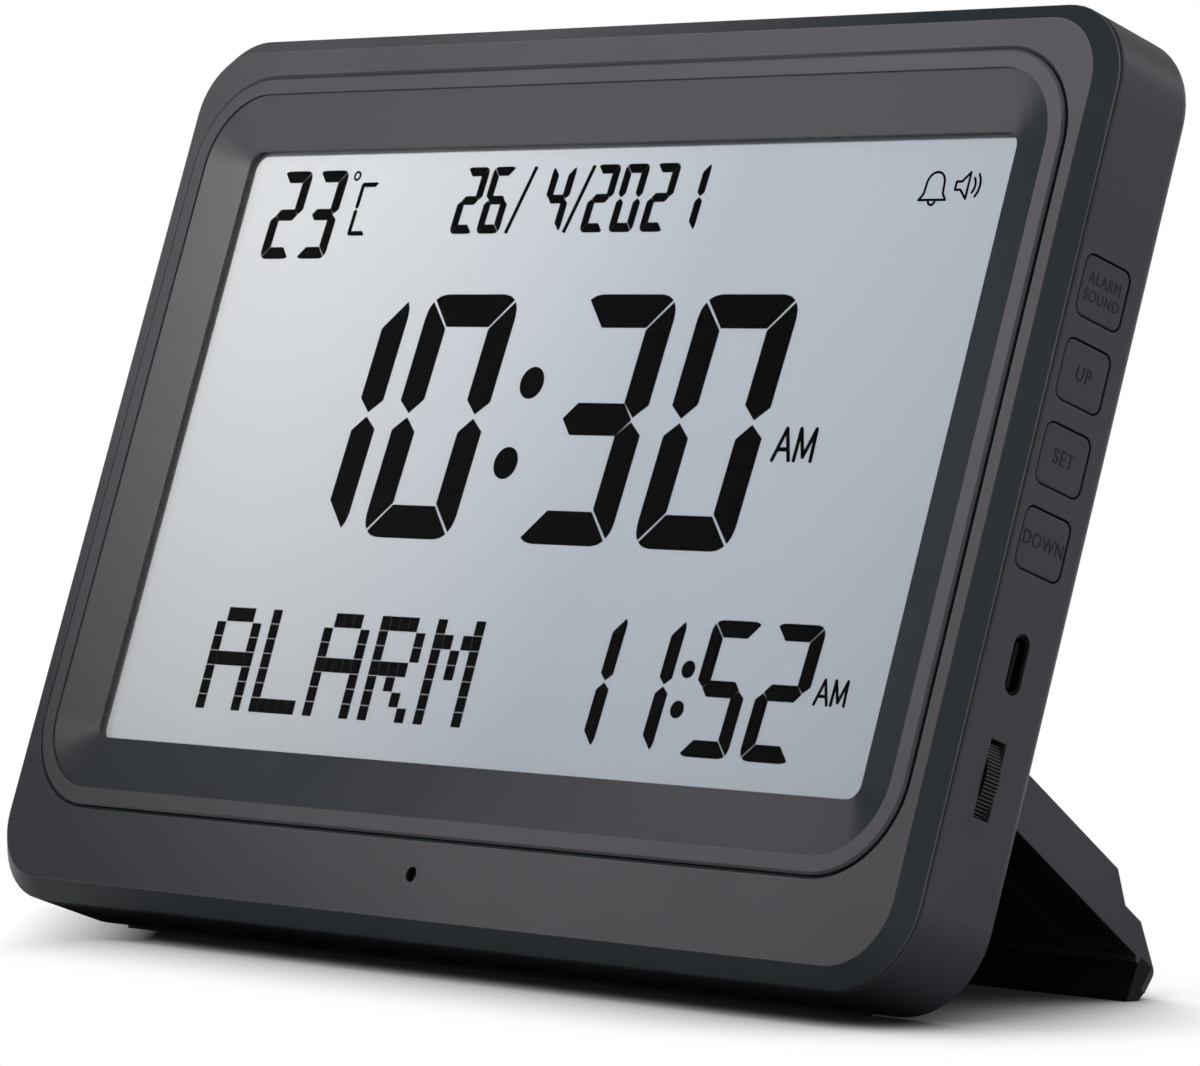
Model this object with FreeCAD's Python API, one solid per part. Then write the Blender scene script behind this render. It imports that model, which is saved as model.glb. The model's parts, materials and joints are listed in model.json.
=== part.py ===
import FreeCAD, Part
import math
import os

# Digital desk clock with a large LCD, side buttons, a volume wheel and a fold-out stand leg.
# Millimetres. Every piece is modelled in the case frame: X to the right, Y from the face to
# the back, Z up the face, with the origin in the face plane at the centre of the display
# window. The finished pieces are then leaned back as the clock stands, with the floor at
# Z = 0 and the origin under the middle of the whole clock.

V = FreeCAD.Vector
X_AXIS = V(1, 0, 0)

# ---------------------------------------------------------------- driving dimensions

# Display window and the frame around it
WINDOW_W = 172.8
WINDOW_H = 101.0
WINDOW_R = 2.5            # corner radius of the window
SLOPE_SIDE = 8.3          # width of the sloping bezel face at left and right
SLOPE_END = 9.05          # the same above and below
SLOPE_DEPTH = 2.5         # from the face down to the window's edge
RING_W = 2.9              # flat ring around the slope
RING_R = 15.0             # outer corner radius of the ring
RING_RISE = 0.4           # ring stands proud of the face
RING_STEP = 0.35          # step down inside the ring
BEZEL_LIP = 0.5           # thickness at the window's edge
BEZEL_BACK = 3.4          # depth of the bezel's flat back
BEZEL_SEAT_W = 1.2        # ledge of the cover under the bezel
BEZEL_SEAT_Y = 1.5        # depth of that ledge

# Case
MARGIN_SIDE = 2.7         # face between ring and chamfer
MARGIN_TOP = 4.7
MARGIN_BOTTOM = 12.7
CHAMFER_W = 3.0
CHAMFER_D = 2.7
CASE_R = 13.5             # outer corner radius
CASE_DEPTH = 19.0
SEAM_GAP = 0.35           # shadow groove between cover and housing
SEAM_DEPTH = 0.8
COVER_T = 2.2
WALL = 2.2
BACK_T = 2.0
REAR_EDGE_R = 2.0
SEAM_EDGE_R = 0.6
TONGUE_T = 1.4
TONGUE_L = 3.0
NOTCH_CLEAR = 0.8         # tongue cut away around the button flanges
GROOVE_CHAMFER = 0.5      # softened edge of the cover's opening

# Clearances
FIT = 0.15                # between pieces that are put together by hand
SLIDE_GAP = 0.25          # around a button
RUN = 0.05                # radial clearance of a turning shaft
REST_GAP = 0.3            # between a moving piece and what it rests near

# Display stack, each layer's thickness
LENS_T = 0.8
GASKET_T = 0.2
LCD_T = 2.0
GUIDE_T = 1.4
REFLECTOR_T = 0.2
HOLDER_T = 0.8
SEGMENT_T = 0.1
LCD_SIDE_OVERLAP = 3.6    # glass beyond the window at left and right
LCD_END_OVERLAP = 3.5
LENS_OVERLAP = 4.4
GASKET_W = 1.8
HOLDER_WALL = 1.6
LED_BAR_H = 2.4
LEDGE_H = 5.5             # glass ledge above the light guide, for the connector

# Side controls, on the right wall
BUTTON_DEPTH_Y = 9.6      # centre line of the buttons behind the face
BUTTON_H = 9.0
BUTTON_W = 9.7
BUTTON_R = 1.5
BUTTON_EDGE_R = 0.35
BUTTON_PITCH = 12.6
BUTTON_TOP_Z = 28.2
BUTTON_COUNT = 4
BUTTON_TRAVEL = 0.7
BUTTON_FLANGE = 0.9
BUTTON_FLANGE_T = 0.9
CONTROL_Y = 10.2          # centre line of socket and wheel
SOCKET_Z = -27.3
SOCKET_SLOT_L = 9.0
SOCKET_SLOT_W = 3.3
SOCKET_WALL = 0.35
SOCKET_LEN = 7.3
SOCKET_INSET = 0.35
SOCKET_TONGUE_T = 0.7
SOCKET_TONGUE_W = 6.6
SOCKET_TONGUE_BACK = 0.6
SOCKET_LEG_L = 1.2
WHEEL_Z = -44.4
WHEEL_R = 9.0
WHEEL_T = 3.0
WHEEL_PROUD = 0.6
WHEEL_RIDGES = 100
WHEEL_RIDGE_H = 0.28
WHEEL_SLOT_L = 11.5
WHEEL_SLOT_FLARE = 1.7
POT_SHAFT_R = 1.5
POT_BASE_R = 3.1
POT_CAP_R = 2.4
POT_CAP_T = 0.7
BOARD_T = 1.6
CONTROL_BOARD_Y = 5.6
CONTROL_BOARD_IN = 10.9   # board's inner edge, from the outside of the case
CONTROL_BOARD_TOP = 40.0
CONTROL_BOARD_BOTTOM = -56.0
BOARD_REST_W = 5.0
BOARD_REST_INSET = 4.5
BOARD_SCREW_EDGE = 1.8
SWITCH_W = 6.0
SWITCH_H = 5.2
SWITCH_CLEAR = 0.1        # left between plunger and flange when a button is fully pressed
SWITCH_PLUNGER_R = 1.6
SWITCH_PLUNGER_L = 0.9

# Light sensor under the small hole in the lower margin
SENSOR_ABOVE_BOTTOM = 9.85
SENSOR_HOLE_R = 1.2
SENSOR_BODY_R = 1.9
SENSOR_BODY_T = 1.2
SENSOR_DOME_L = 1.4       # part of the dome inside the hole
SENSOR_BOARD_W = 10.0
SENSOR_BOARD_H = 6.0
SENSOR_BOARD_T = 0.6

# Thermistor bead on the control board
BEAD_R = 1.3
BEAD_EDGE = 3.0
BEAD_STAND = 2.5
LEAD_T = 0.4

# Stand
LEAN = 18.0               # the face leans back by this angle when the clock stands
LEG_INSET = 12.0          # from the side of the case to the side of the leg
LEG_T = 7.9
LEG_SKIN = 2.0
LEG_SIDE = 2.2
LEG_RIB_T = 1.6
LEG_RIB_EDGE = 1.0        # ribs end this far above the side walls' edge
LEG_BEND_IN = 1.1         # the hollow's bends lie this far before the outer ones
LEG_RIB_XS = (15.0, 45.0, 75.8)
LEG_LEN = 34.3            # thick part of the leg, from the pivot
LEG_STEP_RUN = 4.7        # slope down to the thin part
LEG_THIN_RUN = 4.3        # flat thin part
LEG_NOSE_RUN = 7.2        # slope on to the outer side of the lip behind the rubber foot
LEG_THIN_T = 0.6          # height of the thin part's outer face over the centre line
LEG_NOSE_T = -3.7         # corner where the outer side turns down into that lip
LEG_NOSE_R = 1.6
LEG_LIP_T = 1.0
LEG_LIP_END = -7.4
LEG_TOUCH = 0.5           # from the lip's outer side in to where the rubber foot touches the floor
LEG_DROP = 9.0
FOOT_FLAT = 2.6
FOOT_SINK = 1.2
FOOT_SEAT = -4.7          # leg's flat underside that the strip is let into
FOOT_T = 2.9              # thickness of the strip, from the lip forwards
FOOT_SHOULDER = 0.6       # leg's edge in front of the strip
LEG_ROOT_SOLID = 5.0
RECESS_DEPTH = 3.5
RECESS_SIDE_GAP = 0.8
RECESS_END_GAP = 0.5
PIVOT_ABOVE_BOTTOM = 39.3
LUG_X = 66.0
LUG_W = 11.4
LUG_GAP = 0.3
LUG_END_GAP = 0.7
LUG_R = 3.5
PIN_R = 1.25
PIN_LEN = 22.0
CASE_FOOT_END = 6.0       # from the strip's end to where the case's corner begins
CASE_FOOT_FRONT = 16.8    # depth where the strip begins
CASE_FOOT_W = 1.4
CASE_FOOT_SINK = 1.0
CASE_FOOT_STAND = 0.3     # floor below the lowest edge of the case

# Batteries
CELL_R = 5.25
CELL_L = 43.5
CELL_NIB_R = 1.9
CELL_NIB_L = 0.9
CELL_COUNT = 3
BAY_L = 49.0
BAY_WALL = 1.5
BAY_CLEAR = 0.3
BAY_SIDE_CLEAR = 1.3
DOOR_T = 1.8
DOOR_RIM = 0.45           # back left between the door's hole and the case's rounded edge
DOOR_LEDGE = 1.0
PLATE_T = 0.4
SPRING_WIRE_R = 0.45
SPRING_TURNS = 3
SPRING_R = 3.2
SPRING_TAPER = 0.5        # each turn is this much smaller than the one before
PLATE_W = 9.0
PLATE_H = 11.0
DOOR_CORNER_R = 0.8
DOOR_GRIPS = 3
GRIP_L = 12.0
GRIP_W = 0.8
GRIP_PITCH = 1.6
GRIP_DEPTH = 0.5
GRIP_INSET = 1.8

# Speaker
SPEAKER_FROM_SIDE = 48.3
SPEAKER_GAP = 1.2         # between its well and the leg's recess
SPEAKER_R = 20.0
SPEAKER_DEPTH = 5.6
SPEAKER_RIM = 3.0
MAGNET_R = 9.0
MAGNET_T = 2.6
CONE_T = 0.5
CONE_GAP = 0.1
CONE_RIM = 0.6
DUST_CAP_R = 5.0
DUST_CAP_RISE = 0.5
BASKET_T = 0.6
POLE_R = 8.0              # hole in the basket's floor over the magnet
GRILLE_SLOTS = 7
GRILLE_PITCH = 4.6
GRILLE_W = 2.0
GRILLE_SLOT_R = 0.95

# Main circuit board
BOARD_LEFT = -25.0
BOARD_H = 38.2
BOARD_SIDE_GAP = 2.0      # from the LCD's side edge in to the board
BOARD_OVER_LCD = 2.0      # board stands above the LCD's top edge by this
BOARD_STAND = 1.2
BOARD_SCREW_INSET = 4.0
CONNECTOR_X0 = -10.0
CONNECTOR_X1 = 74.0
CONNECTOR_EDGE = 3.0      # from the LCD's top edge to the connector's middle
CONNECTOR_W = 2.6
CABLE_T = 0.2
CABLE_W = 5.0
CABLE_LAP = 3.2           # soldered length at each end
CABLE_EDGE = 0.8

# Screws: shank radius, head radius, head height
CASE_SCREW = (1.2, 2.5, 1.8)
SMALL_SCREW = (0.8, 1.8, 1.1)
# Cross recess: half length and half width as shares of the head's radius, depth as a share of its height
CROSS_RECESS = (0.6, 0.16, 0.5)
CASE_BOSS_R = 3.0
REAR_BOSS_R = 3.6
CASE_BOSS_INSET = 8.2
CASE_BOSS_Y = 9.0
CASE_SCREW_SEAT_Y = 12.0
HOLDER_SCREW_INSET = 6.0  # from the LCD's side edge
SMALL_BOSS_R = 2.4
HOLDER_EAR_Y = 4.6
HOLDER_EAR_T = 1.4
HOLDER_EAR_W = 6.0
HOLDER_EAR_END = 2.2
SCREW_DEPTH = 5.0

# ---------------------------------------------------------------- derived places

WIN_X = WINDOW_W / 2
WIN_Z = WINDOW_H / 2
SLOPE_X = WIN_X + SLOPE_SIDE
SLOPE_Z = WIN_Z + SLOPE_END
RING_X = SLOPE_X + RING_W
RING_Z = SLOPE_Z + RING_W
CASE_X = RING_X + MARGIN_SIDE + CHAMFER_W
CASE_TOP = RING_Z + MARGIN_TOP + CHAMFER_W
CASE_BOTTOM = -(RING_Z + MARGIN_BOTTOM + CHAMFER_W)
SEAM_Y = CHAMFER_D + SEAM_GAP
BACK_INNER_Y = CASE_DEPTH - BACK_T
TONGUE_OUT = WALL + FIT
TONGUE_IN = TONGUE_OUT + TONGUE_T
INNER_BOTTOM = CASE_BOTTOM + WALL
INNER_X = CASE_X - WALL

LENS_Y = SLOPE_DEPTH + BEZEL_LIP
GASKET_Y = LENS_Y + LENS_T
LCD_Y = GASKET_Y + GASKET_T
GUIDE_Y = LCD_Y + LCD_T
REFLECTOR_Y = GUIDE_Y + GUIDE_T
HOLDER_Y = REFLECTOR_Y + REFLECTOR_T
HOLDER_BACK = HOLDER_Y + HOLDER_T
LCD_X = WIN_X + LCD_SIDE_OVERLAP
LCD_Z = WIN_Z + LCD_END_OVERLAP
HOLDER_X = LCD_X + FIT + HOLDER_WALL
HOLDER_Z = LCD_Z + FIT + HOLDER_WALL
BOARD_Y = HOLDER_BACK + BOARD_STAND
BOARD_BACK = BOARD_Y + BOARD_T
BOARD_RIGHT = LCD_X - BOARD_SIDE_GAP
BOARD_TOP = LCD_Z + BOARD_OVER_LCD
BOARD_BOTTOM = BOARD_TOP - BOARD_H
CONNECTOR_Z = LCD_Z - CONNECTOR_EDGE
SENSOR_Z = CASE_BOTTOM + SENSOR_ABOVE_BOTTOM

LEG_HALF = LEG_T / 2
LEG_STEP_L = LEG_LEN + LEG_STEP_RUN
LEG_THIN_L = LEG_STEP_L + LEG_THIN_RUN
LEG_NOSE_L = LEG_THIN_L + LEG_NOSE_RUN
LEG_REACH = LEG_NOSE_L - LEG_TOUCH
LEG_X = CASE_X - LEG_INSET
RECESS_Y = CASE_DEPTH - RECESS_DEPTH
PIVOT_Y = RECESS_Y + REST_GAP + LEG_HALF
PIVOT_Z = CASE_BOTTOM + PIVOT_ABOVE_BOTTOM
RECESS_BOTTOM = PIVOT_Z - LEG_HALF - RECESS_END_GAP
RECESS_TOP = PIVOT_Z + LEG_NOSE_L + RECESS_SIDE_GAP

BUTTON_ZS = [BUTTON_TOP_Z - i * BUTTON_PITCH for i in range(BUTTON_COUNT)]
BUTTON_NAMES = ["alarm_sound_button", "up_button", "set_button", "down_button"]
FLANGE_X = INNER_X - FIT
WHEEL_X = CASE_X + WHEEL_PROUD - WHEEL_R
BOARD_IN_X = CASE_X - CONTROL_BOARD_IN
BOARD_OUT_X = FLANGE_X - BUTTON_FLANGE_T - BUTTON_TRAVEL - REST_GAP
CONTROL_TOP_Y = CONTROL_BOARD_Y + BOARD_T
BOARD_SCREW_X = BOARD_OUT_X - BOARD_SCREW_EDGE
BOARD_SCREW_ZS = (BUTTON_ZS[0] - BUTTON_PITCH / 2, (BUTTON_ZS[-1] + SOCKET_Z) / 2)
BOARD_REST_ZS = (CONTROL_BOARD_TOP - BOARD_REST_INSET, CONTROL_BOARD_BOTTOM + BOARD_REST_INSET)
BOARD_REST_ZS += BOARD_SCREW_ZS

CASE_BOSSES = [(side * (CASE_X - CASE_BOSS_INSET), CASE_TOP - CASE_BOSS_INSET) for side in (-1, 1)]
CASE_BOSSES += [(side * (CASE_X - CASE_BOSS_INSET), CASE_BOTTOM + CASE_BOSS_INSET) for side in (-1, 1)]
CASE_BOSSES += [(0.0, RING_Z - BEZEL_SEAT_W + REST_GAP + CASE_BOSS_R)]
HOLDER_EAR_Z = RING_Z - BEZEL_SEAT_W + REST_GAP + SMALL_BOSS_R
HOLDER_SCREWS = [(sx * (LCD_X - HOLDER_SCREW_INSET), sz * HOLDER_EAR_Z) for sx in (-1, 1) for sz in (-1, 1)]
BOARD_SCREWS = [(x, z) for x in (BOARD_LEFT + BOARD_SCREW_INSET, BOARD_RIGHT - BOARD_SCREW_INSET)
                for z in (BOARD_BOTTOM + BOARD_SCREW_INSET, BOARD_TOP - BOARD_SCREW_INSET)]

COMPARTMENT_L = CELL_COUNT * BAY_L + (CELL_COUNT - 1) * BAY_WALL
CELL_Y = CASE_DEPTH - DOOR_T - FIT - CELL_R
COMPARTMENT_Y = CELL_Y - CELL_R - BAY_CLEAR
COMPARTMENT_X = COMPARTMENT_L / 2
BAY_HALF = CELL_R + BAY_SIDE_CLEAR
DOOR_X = COMPARTMENT_X + DOOR_LEDGE
DOOR_HALF = BAY_HALF + DOOR_LEDGE
DOOR_Y = CASE_DEPTH - DOOR_T
CELL_Z = CASE_BOTTOM + REAR_EDGE_R + DOOR_RIM + FIT + DOOR_HALF
SPEAKER_X = SPEAKER_FROM_SIDE - CASE_X
SPEAKER_Z = RECESS_TOP + BACK_T + SPEAKER_GAP + SPEAKER_R + FIT + BAY_WALL
CASE_FOOT_HALF = CASE_X - CASE_R - CASE_FOOT_END
CASE_FOOT_REAR = CASE_FOOT_FRONT + CASE_FOOT_W


def in_leaned_frame(y, z):
    """Depth and height of a case point once the case leans back."""
    a = math.radians(LEAN)
    return y * math.cos(a) + z * math.sin(a), z * math.cos(a) - y * math.sin(a)


# The floor lies just under the rounded lower rear edge of the case.
LOW_EDGE = in_leaned_frame(CASE_DEPTH - REAR_EDGE_R, CASE_BOTTOM + REAR_EDGE_R)[1] - REAR_EDGE_R
FLOOR = LOW_EDGE - CASE_FOOT_STAND

# The leg is open as far as it takes its rubber foot down to that floor.
PIVOT_HEIGHT = in_leaned_frame(PIVOT_Y, PIVOT_Z)[1] - FLOOR
LEG_SLOPE = math.degrees(math.asin(PIVOT_HEIGHT / math.hypot(LEG_REACH, LEG_DROP))
                         - math.atan2(LEG_DROP, LEG_REACH))
LEG_ANGLE = LEG_SLOPE - LEAN          # below the case's own depth direction

# ---------------------------------------------------------------- shape helpers


def box(x0, x1, y0, y1, z0, z1):
    return Part.makeBox(x1 - x0, y1 - y0, z1 - z0, V(x0, y0, z0))


def cylinder(x, y0, y1, z, r):
    """Round bar along the depth."""
    return Part.makeCylinder(r, y1 - y0, V(x, y0, z), V(0, 1, 0))


def bar_x(x0, x1, y, z, r):
    """Round bar across the clock."""
    return Part.makeCylinder(r, x1 - x0, V(x0, y, z), X_AXIS)


def rounded_outline(a0, a1, b0, b1, r, place):
    """Rounded rectangle between a0, a1 and b0, b1; place puts an (a, b) point in space."""
    s = r * math.sqrt(0.5)
    points = [(a0 + r, b0), (a1 - r, b0), (a1 - r + s, b0 + r - s),
              (a1, b0 + r), (a1, b1 - r), (a1 - r + s, b1 - r + s),
              (a1 - r, b1), (a0 + r, b1), (a0 + r - s, b1 - r + s),
              (a0, b1 - r), (a0, b0 + r), (a0 + r - s, b0 + r - s)]
    edges = []
    for i in range(0, 12, 3):
        start, end, middle, corner_end = (place(*points[(i + k) % 12]) for k in range(4))
        edges.append(Part.LineSegment(start, end).toShape())
        edges.append(Part.Arc(end, middle, corner_end).toShape())
    return Part.Wire(edges)


def rounded_wire(x0, x1, z0, z1, r, y):
    """Rounded rectangle in the plane at depth y."""
    return rounded_outline(x0, x1, z0, z1, r, lambda x, z: V(x, y, z))


def slab(x0, x1, z0, z1, r, y0, y1):
    """Plate with rounded corners between two depths."""
    return Part.Face(rounded_wire(x0, x1, z0, z1, r, y0)).extrude(V(0, y1 - y0, 0))


def centred_slab(half_x, half_z, r, y0, y1):
    return slab(-half_x, half_x, -half_z, half_z, r, y0, y1)


def case_slab(inset, y0, y1):
    """Slab with the case's outline, drawn in by inset."""
    return slab(-CASE_X + inset, CASE_X - inset, CASE_BOTTOM + inset, CASE_TOP - inset,
                CASE_R - inset, y0, y1)


def loft(wire_a, wire_b):
    return Part.makeLoft([wire_a, wire_b], True, True)


def prism_x(points, x0, x1):
    """Polygon of (depth, height) points, extruded across the clock."""
    corners = [V(x0, y, z) for y, z in points]
    return Part.Face(Part.makePolygon(corners + corners[:1])).extrude(V(x1 - x0, 0, 0))


def prism_y(points, y0, y1):
    """Polygon of (x, z) points, extruded along the depth."""
    corners = [V(x, y0, z) for x, z in points]
    return Part.Face(Part.makePolygon(corners + corners[:1])).extrude(V(0, y1 - y0, 0))


def fuse(shapes):
    joined = shapes[0]
    for other in shapes[1:]:
        joined = joined.fuse(other)
    return joined.removeSplitter()


def cut(shape, tools):
    return shape.cut(Part.makeCompound(tools))


def screw(x, z, head_y, shank_y, sizes):
    """Cross-head screw whose head stands on head_y and whose shank runs forward to shank_y."""
    shank_r, head_r, head_h = sizes
    body = cylinder(x, shank_y, head_y, z, shank_r).fuse(cylinder(x, head_y, head_y + head_h, z, head_r))
    slot_l, slot_w, slot_d = head_r * CROSS_RECESS[0], head_r * CROSS_RECESS[1], head_h * CROSS_RECESS[2]
    top = head_y + head_h
    return cut(body, [box(x - slot_l, x + slot_l, top - slot_d, top, z - slot_w, z + slot_w),
                      box(x - slot_w, x + slot_w, top - slot_d, top, z - slot_l, z + slot_l)])


PIECES = {}

# ---------------------------------------------------------------- front cover


def make_front_cover():
    chamfer = loft(rounded_wire(-CASE_X + CHAMFER_W, CASE_X - CHAMFER_W, CASE_BOTTOM + CHAMFER_W,
                                CASE_TOP - CHAMFER_W, CASE_R - CHAMFER_W, 0),
                   rounded_wire(-CASE_X, CASE_X, CASE_BOTTOM, CASE_TOP, CASE_R, CHAMFER_D))
    neck = case_slab(SEAM_DEPTH, CHAMFER_D, SEAM_Y)
    tongue = case_slab(TONGUE_OUT, SEAM_Y, SEAM_Y + TONGUE_L)
    cover = fuse([chamfer, neck, tongue])
    cover = cover.cut(case_slab(TONGUE_IN, COVER_T, SEAM_Y + TONGUE_L))
    tongue_end = SEAM_Y + TONGUE_L
    flange = BUTTON_H / 2 + BUTTON_FLANGE + NOTCH_CLEAR
    bay = COMPARTMENT_X + BAY_WALL + REST_GAP
    cover = cut(cover, [box(CASE_X - TONGUE_IN - FIT, CASE_X, SEAM_Y, tongue_end,
                            BUTTON_ZS[-1] - flange, BUTTON_ZS[0] + flange),
                        box(-bay, bay, SEAM_Y, tongue_end, CASE_BOTTOM, CASE_BOTTOM + TONGUE_IN + FIT)])
    bosses = []
    for x, z in CASE_BOSSES:
        bosses.append(cylinder(x, COVER_T, CASE_BOSS_Y, z, CASE_BOSS_R))
    for x, z in HOLDER_SCREWS:
        bosses.append(cylinder(x, COVER_T, HOLDER_EAR_Y, z, SMALL_BOSS_R))
    rib_x = RING_X - BEZEL_SEAT_W + 2 * REST_GAP
    pad_y = BEZEL_BACK + REST_GAP
    for z in BOARD_REST_ZS:
        low, high = z - BOARD_REST_W / 2, z + BOARD_REST_W / 2
        for rest_x, rest_y in ((rib_x, COVER_T), (BOARD_SCREW_X - SMALL_BOSS_R, pad_y)):
            bosses.append(box(rest_x, BOARD_OUT_X, rest_y, CONTROL_BOARD_Y, low, high))
    cover = fuse([cover] + bosses)
    seat_x, seat_z = RING_X - BEZEL_SEAT_W + FIT, RING_Z - BEZEL_SEAT_W + FIT
    front_x, front_z = RING_X + FIT, RING_Z + FIT
    seat_r, front_r = RING_R - BEZEL_SEAT_W + FIT, RING_R + FIT
    soft = GROOVE_CHAMFER
    openings = [centred_slab(seat_x, seat_z, seat_r, 0, COVER_T),
                centred_slab(front_x, front_z, front_r, 0, BEZEL_SEAT_Y),
                loft(rounded_wire(-front_x - soft, front_x + soft, -front_z - soft, front_z + soft,
                                  front_r + soft, 0),
                     rounded_wire(-front_x, front_x, -front_z, front_z, front_r, soft)),
                cylinder(0, 0, COVER_T, SENSOR_Z, SENSOR_HOLE_R)]
    for x, z in CASE_BOSSES:
        openings.append(cylinder(x, CASE_BOSS_Y - SCREW_DEPTH, CASE_BOSS_Y, z, CASE_SCREW[0]))
    for x, z in HOLDER_SCREWS:
        openings.append(cylinder(x, COVER_T, HOLDER_EAR_Y, z, SMALL_SCREW[0]))
    for z in BOARD_SCREW_ZS:
        openings.append(cylinder(BOARD_SCREW_X, pad_y, CONTROL_BOARD_Y, z, SMALL_SCREW[0]))
    return cut(cover, openings)


PIECES["front_cover"] = make_front_cover()

# ---------------------------------------------------------------- display bezel and stack


def make_display_bezel():
    seat_x, seat_z = RING_X - BEZEL_SEAT_W, RING_Z - BEZEL_SEAT_W
    soft = RING_RISE
    crown = loft(rounded_wire(-RING_X + soft, RING_X - soft, -RING_Z + soft, RING_Z - soft,
                              RING_R - soft, -RING_RISE),
                 rounded_wire(-RING_X, RING_X, -RING_Z, RING_Z, RING_R, 0))
    body = fuse([crown,
                 centred_slab(RING_X, RING_Z, RING_R, 0, BEZEL_SEAT_Y),
                 centred_slab(seat_x, seat_z, RING_R - BEZEL_SEAT_W, BEZEL_SEAT_Y, BEZEL_BACK)])
    slope_r = RING_R - RING_W
    step_y = RING_STEP - RING_RISE
    slope = loft(rounded_wire(-SLOPE_X, SLOPE_X, -SLOPE_Z, SLOPE_Z, slope_r, step_y),
                 rounded_wire(-WIN_X, WIN_X, -WIN_Z, WIN_Z, WINDOW_R, SLOPE_DEPTH))
    lens_x, lens_z = WIN_X + LENS_OVERLAP + FIT, WIN_Z + LENS_OVERLAP + FIT
    return cut(body, [centred_slab(SLOPE_X, SLOPE_Z, slope_r, -RING_RISE, step_y),
                      slope,
                      centred_slab(WIN_X, WIN_Z, WINDOW_R, SLOPE_DEPTH, BEZEL_BACK),
                      centred_slab(lens_x, lens_z, WINDOW_R + FIT, LENS_Y, BEZEL_BACK)])


def make_display_stack():
    lens_x, lens_z = WIN_X + LENS_OVERLAP, WIN_Z + LENS_OVERLAP
    lcd = centred_slab(LCD_X, LCD_Z, WINDOW_R / 2, LCD_Y, GUIDE_Y)
    gasket = centred_slab(LCD_X, LCD_Z, WINDOW_R / 2, GASKET_Y, LCD_Y)
    gasket = gasket.cut(centred_slab(LCD_X - GASKET_W, LCD_Z - GASKET_W, WINDOW_R / 2, GASKET_Y, LCD_Y))
    guide_top = LCD_Z - LEDGE_H
    guide_bottom = -LCD_Z + LED_BAR_H + FIT
    return {
        "display_lens": centred_slab(lens_x, lens_z, WINDOW_R, LENS_Y, GASKET_Y),
        "display_gasket": gasket,
        "lcd_panel": lcd,
        "light_guide": box(-LCD_X, LCD_X, GUIDE_Y, REFLECTOR_Y, guide_bottom, guide_top),
        "reflector_sheet": box(-LCD_X, LCD_X, REFLECTOR_Y, HOLDER_Y, guide_bottom, guide_top),
        "backlight_led_bar": box(-LCD_X + WINDOW_R, LCD_X - WINDOW_R, GUIDE_Y, REFLECTOR_Y,
                                 -LCD_Z, -LCD_Z + LED_BAR_H),
        "connector_strip": box(CONNECTOR_X0, CONNECTOR_X1, GUIDE_Y, BOARD_Y,
                               CONNECTOR_Z - CONNECTOR_W / 2, CONNECTOR_Z + CONNECTOR_W / 2),
    }


def make_display_holder():
    tray = centred_slab(HOLDER_X, HOLDER_Z, WINDOW_R, BEZEL_BACK, HOLDER_BACK)
    ears = []
    for x, z in HOLDER_SCREWS:
        root = math.copysign(HOLDER_Z - HOLDER_WALL, z)
        end = math.copysign(HOLDER_EAR_Z + HOLDER_EAR_END, z)
        ears.append(box(x - HOLDER_EAR_W / 2, x + HOLDER_EAR_W / 2, HOLDER_EAR_Y,
                        HOLDER_EAR_Y + HOLDER_EAR_T, min(root, end), max(root, end)))
    posts = [cylinder(x, HOLDER_BACK, BOARD_Y, z, SMALL_BOSS_R) for x, z in BOARD_SCREWS]
    holder = fuse([tray] + ears + posts)
    pocket_x, pocket_z = LCD_X + FIT, LCD_Z + FIT
    lens_x, lens_z = WIN_X + LENS_OVERLAP + FIT, WIN_Z + LENS_OVERLAP + FIT
    slot = CONNECTOR_W / 2 + FIT
    openings = [centred_slab(pocket_x, pocket_z, WINDOW_R / 2, LCD_Y, HOLDER_Y),
                centred_slab(lens_x, lens_z, WINDOW_R + FIT, BEZEL_BACK, LCD_Y),
                box(CONNECTOR_X0 - FIT, CONNECTOR_X1 + FIT, HOLDER_Y, HOLDER_BACK,
                    CONNECTOR_Z - slot, CONNECTOR_Z + slot)]
    openings += [cylinder(x, HOLDER_EAR_Y, HOLDER_EAR_Y + HOLDER_EAR_T, z, SMALL_SCREW[0] + FIT)
                 for x, z in HOLDER_SCREWS]
    openings += [cylinder(x, HOLDER_BACK, BOARD_Y, z, SMALL_SCREW[0]) for x, z in BOARD_SCREWS]
    return cut(holder, openings)


PIECES["display_bezel"] = make_display_bezel()
PIECES.update(make_display_stack())
PIECES["display_holder"] = make_display_holder()
PIECES["holder_screws"] = Part.makeCompound(
    [screw(x, z, HOLDER_EAR_Y + HOLDER_EAR_T, COVER_T, SMALL_SCREW) for x, z in HOLDER_SCREWS])

# ---------------------------------------------------------------- figures on the LCD

LIT = {"0": "abcdef", "1": "bc", "2": "abged", "3": "abgcd", "4": "fgbc", "5": "afgcd",
       "6": "afgecd", "7": "abc", "8": "abcdefg", "9": "abcdfg", "C": "afed"}
SLANT = math.tan(math.radians(3.2))
# Shares of a figure's stroke: half the bare line between two segments, the round outer corner,
# the pointed ends by the middle bar, and half the middle bar
SEGMENT_GAP = 0.035
CORNER_SHARE = 0.7
POINT_SHARE = 0.45
MIDDLE_SHARE = 0.48

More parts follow.
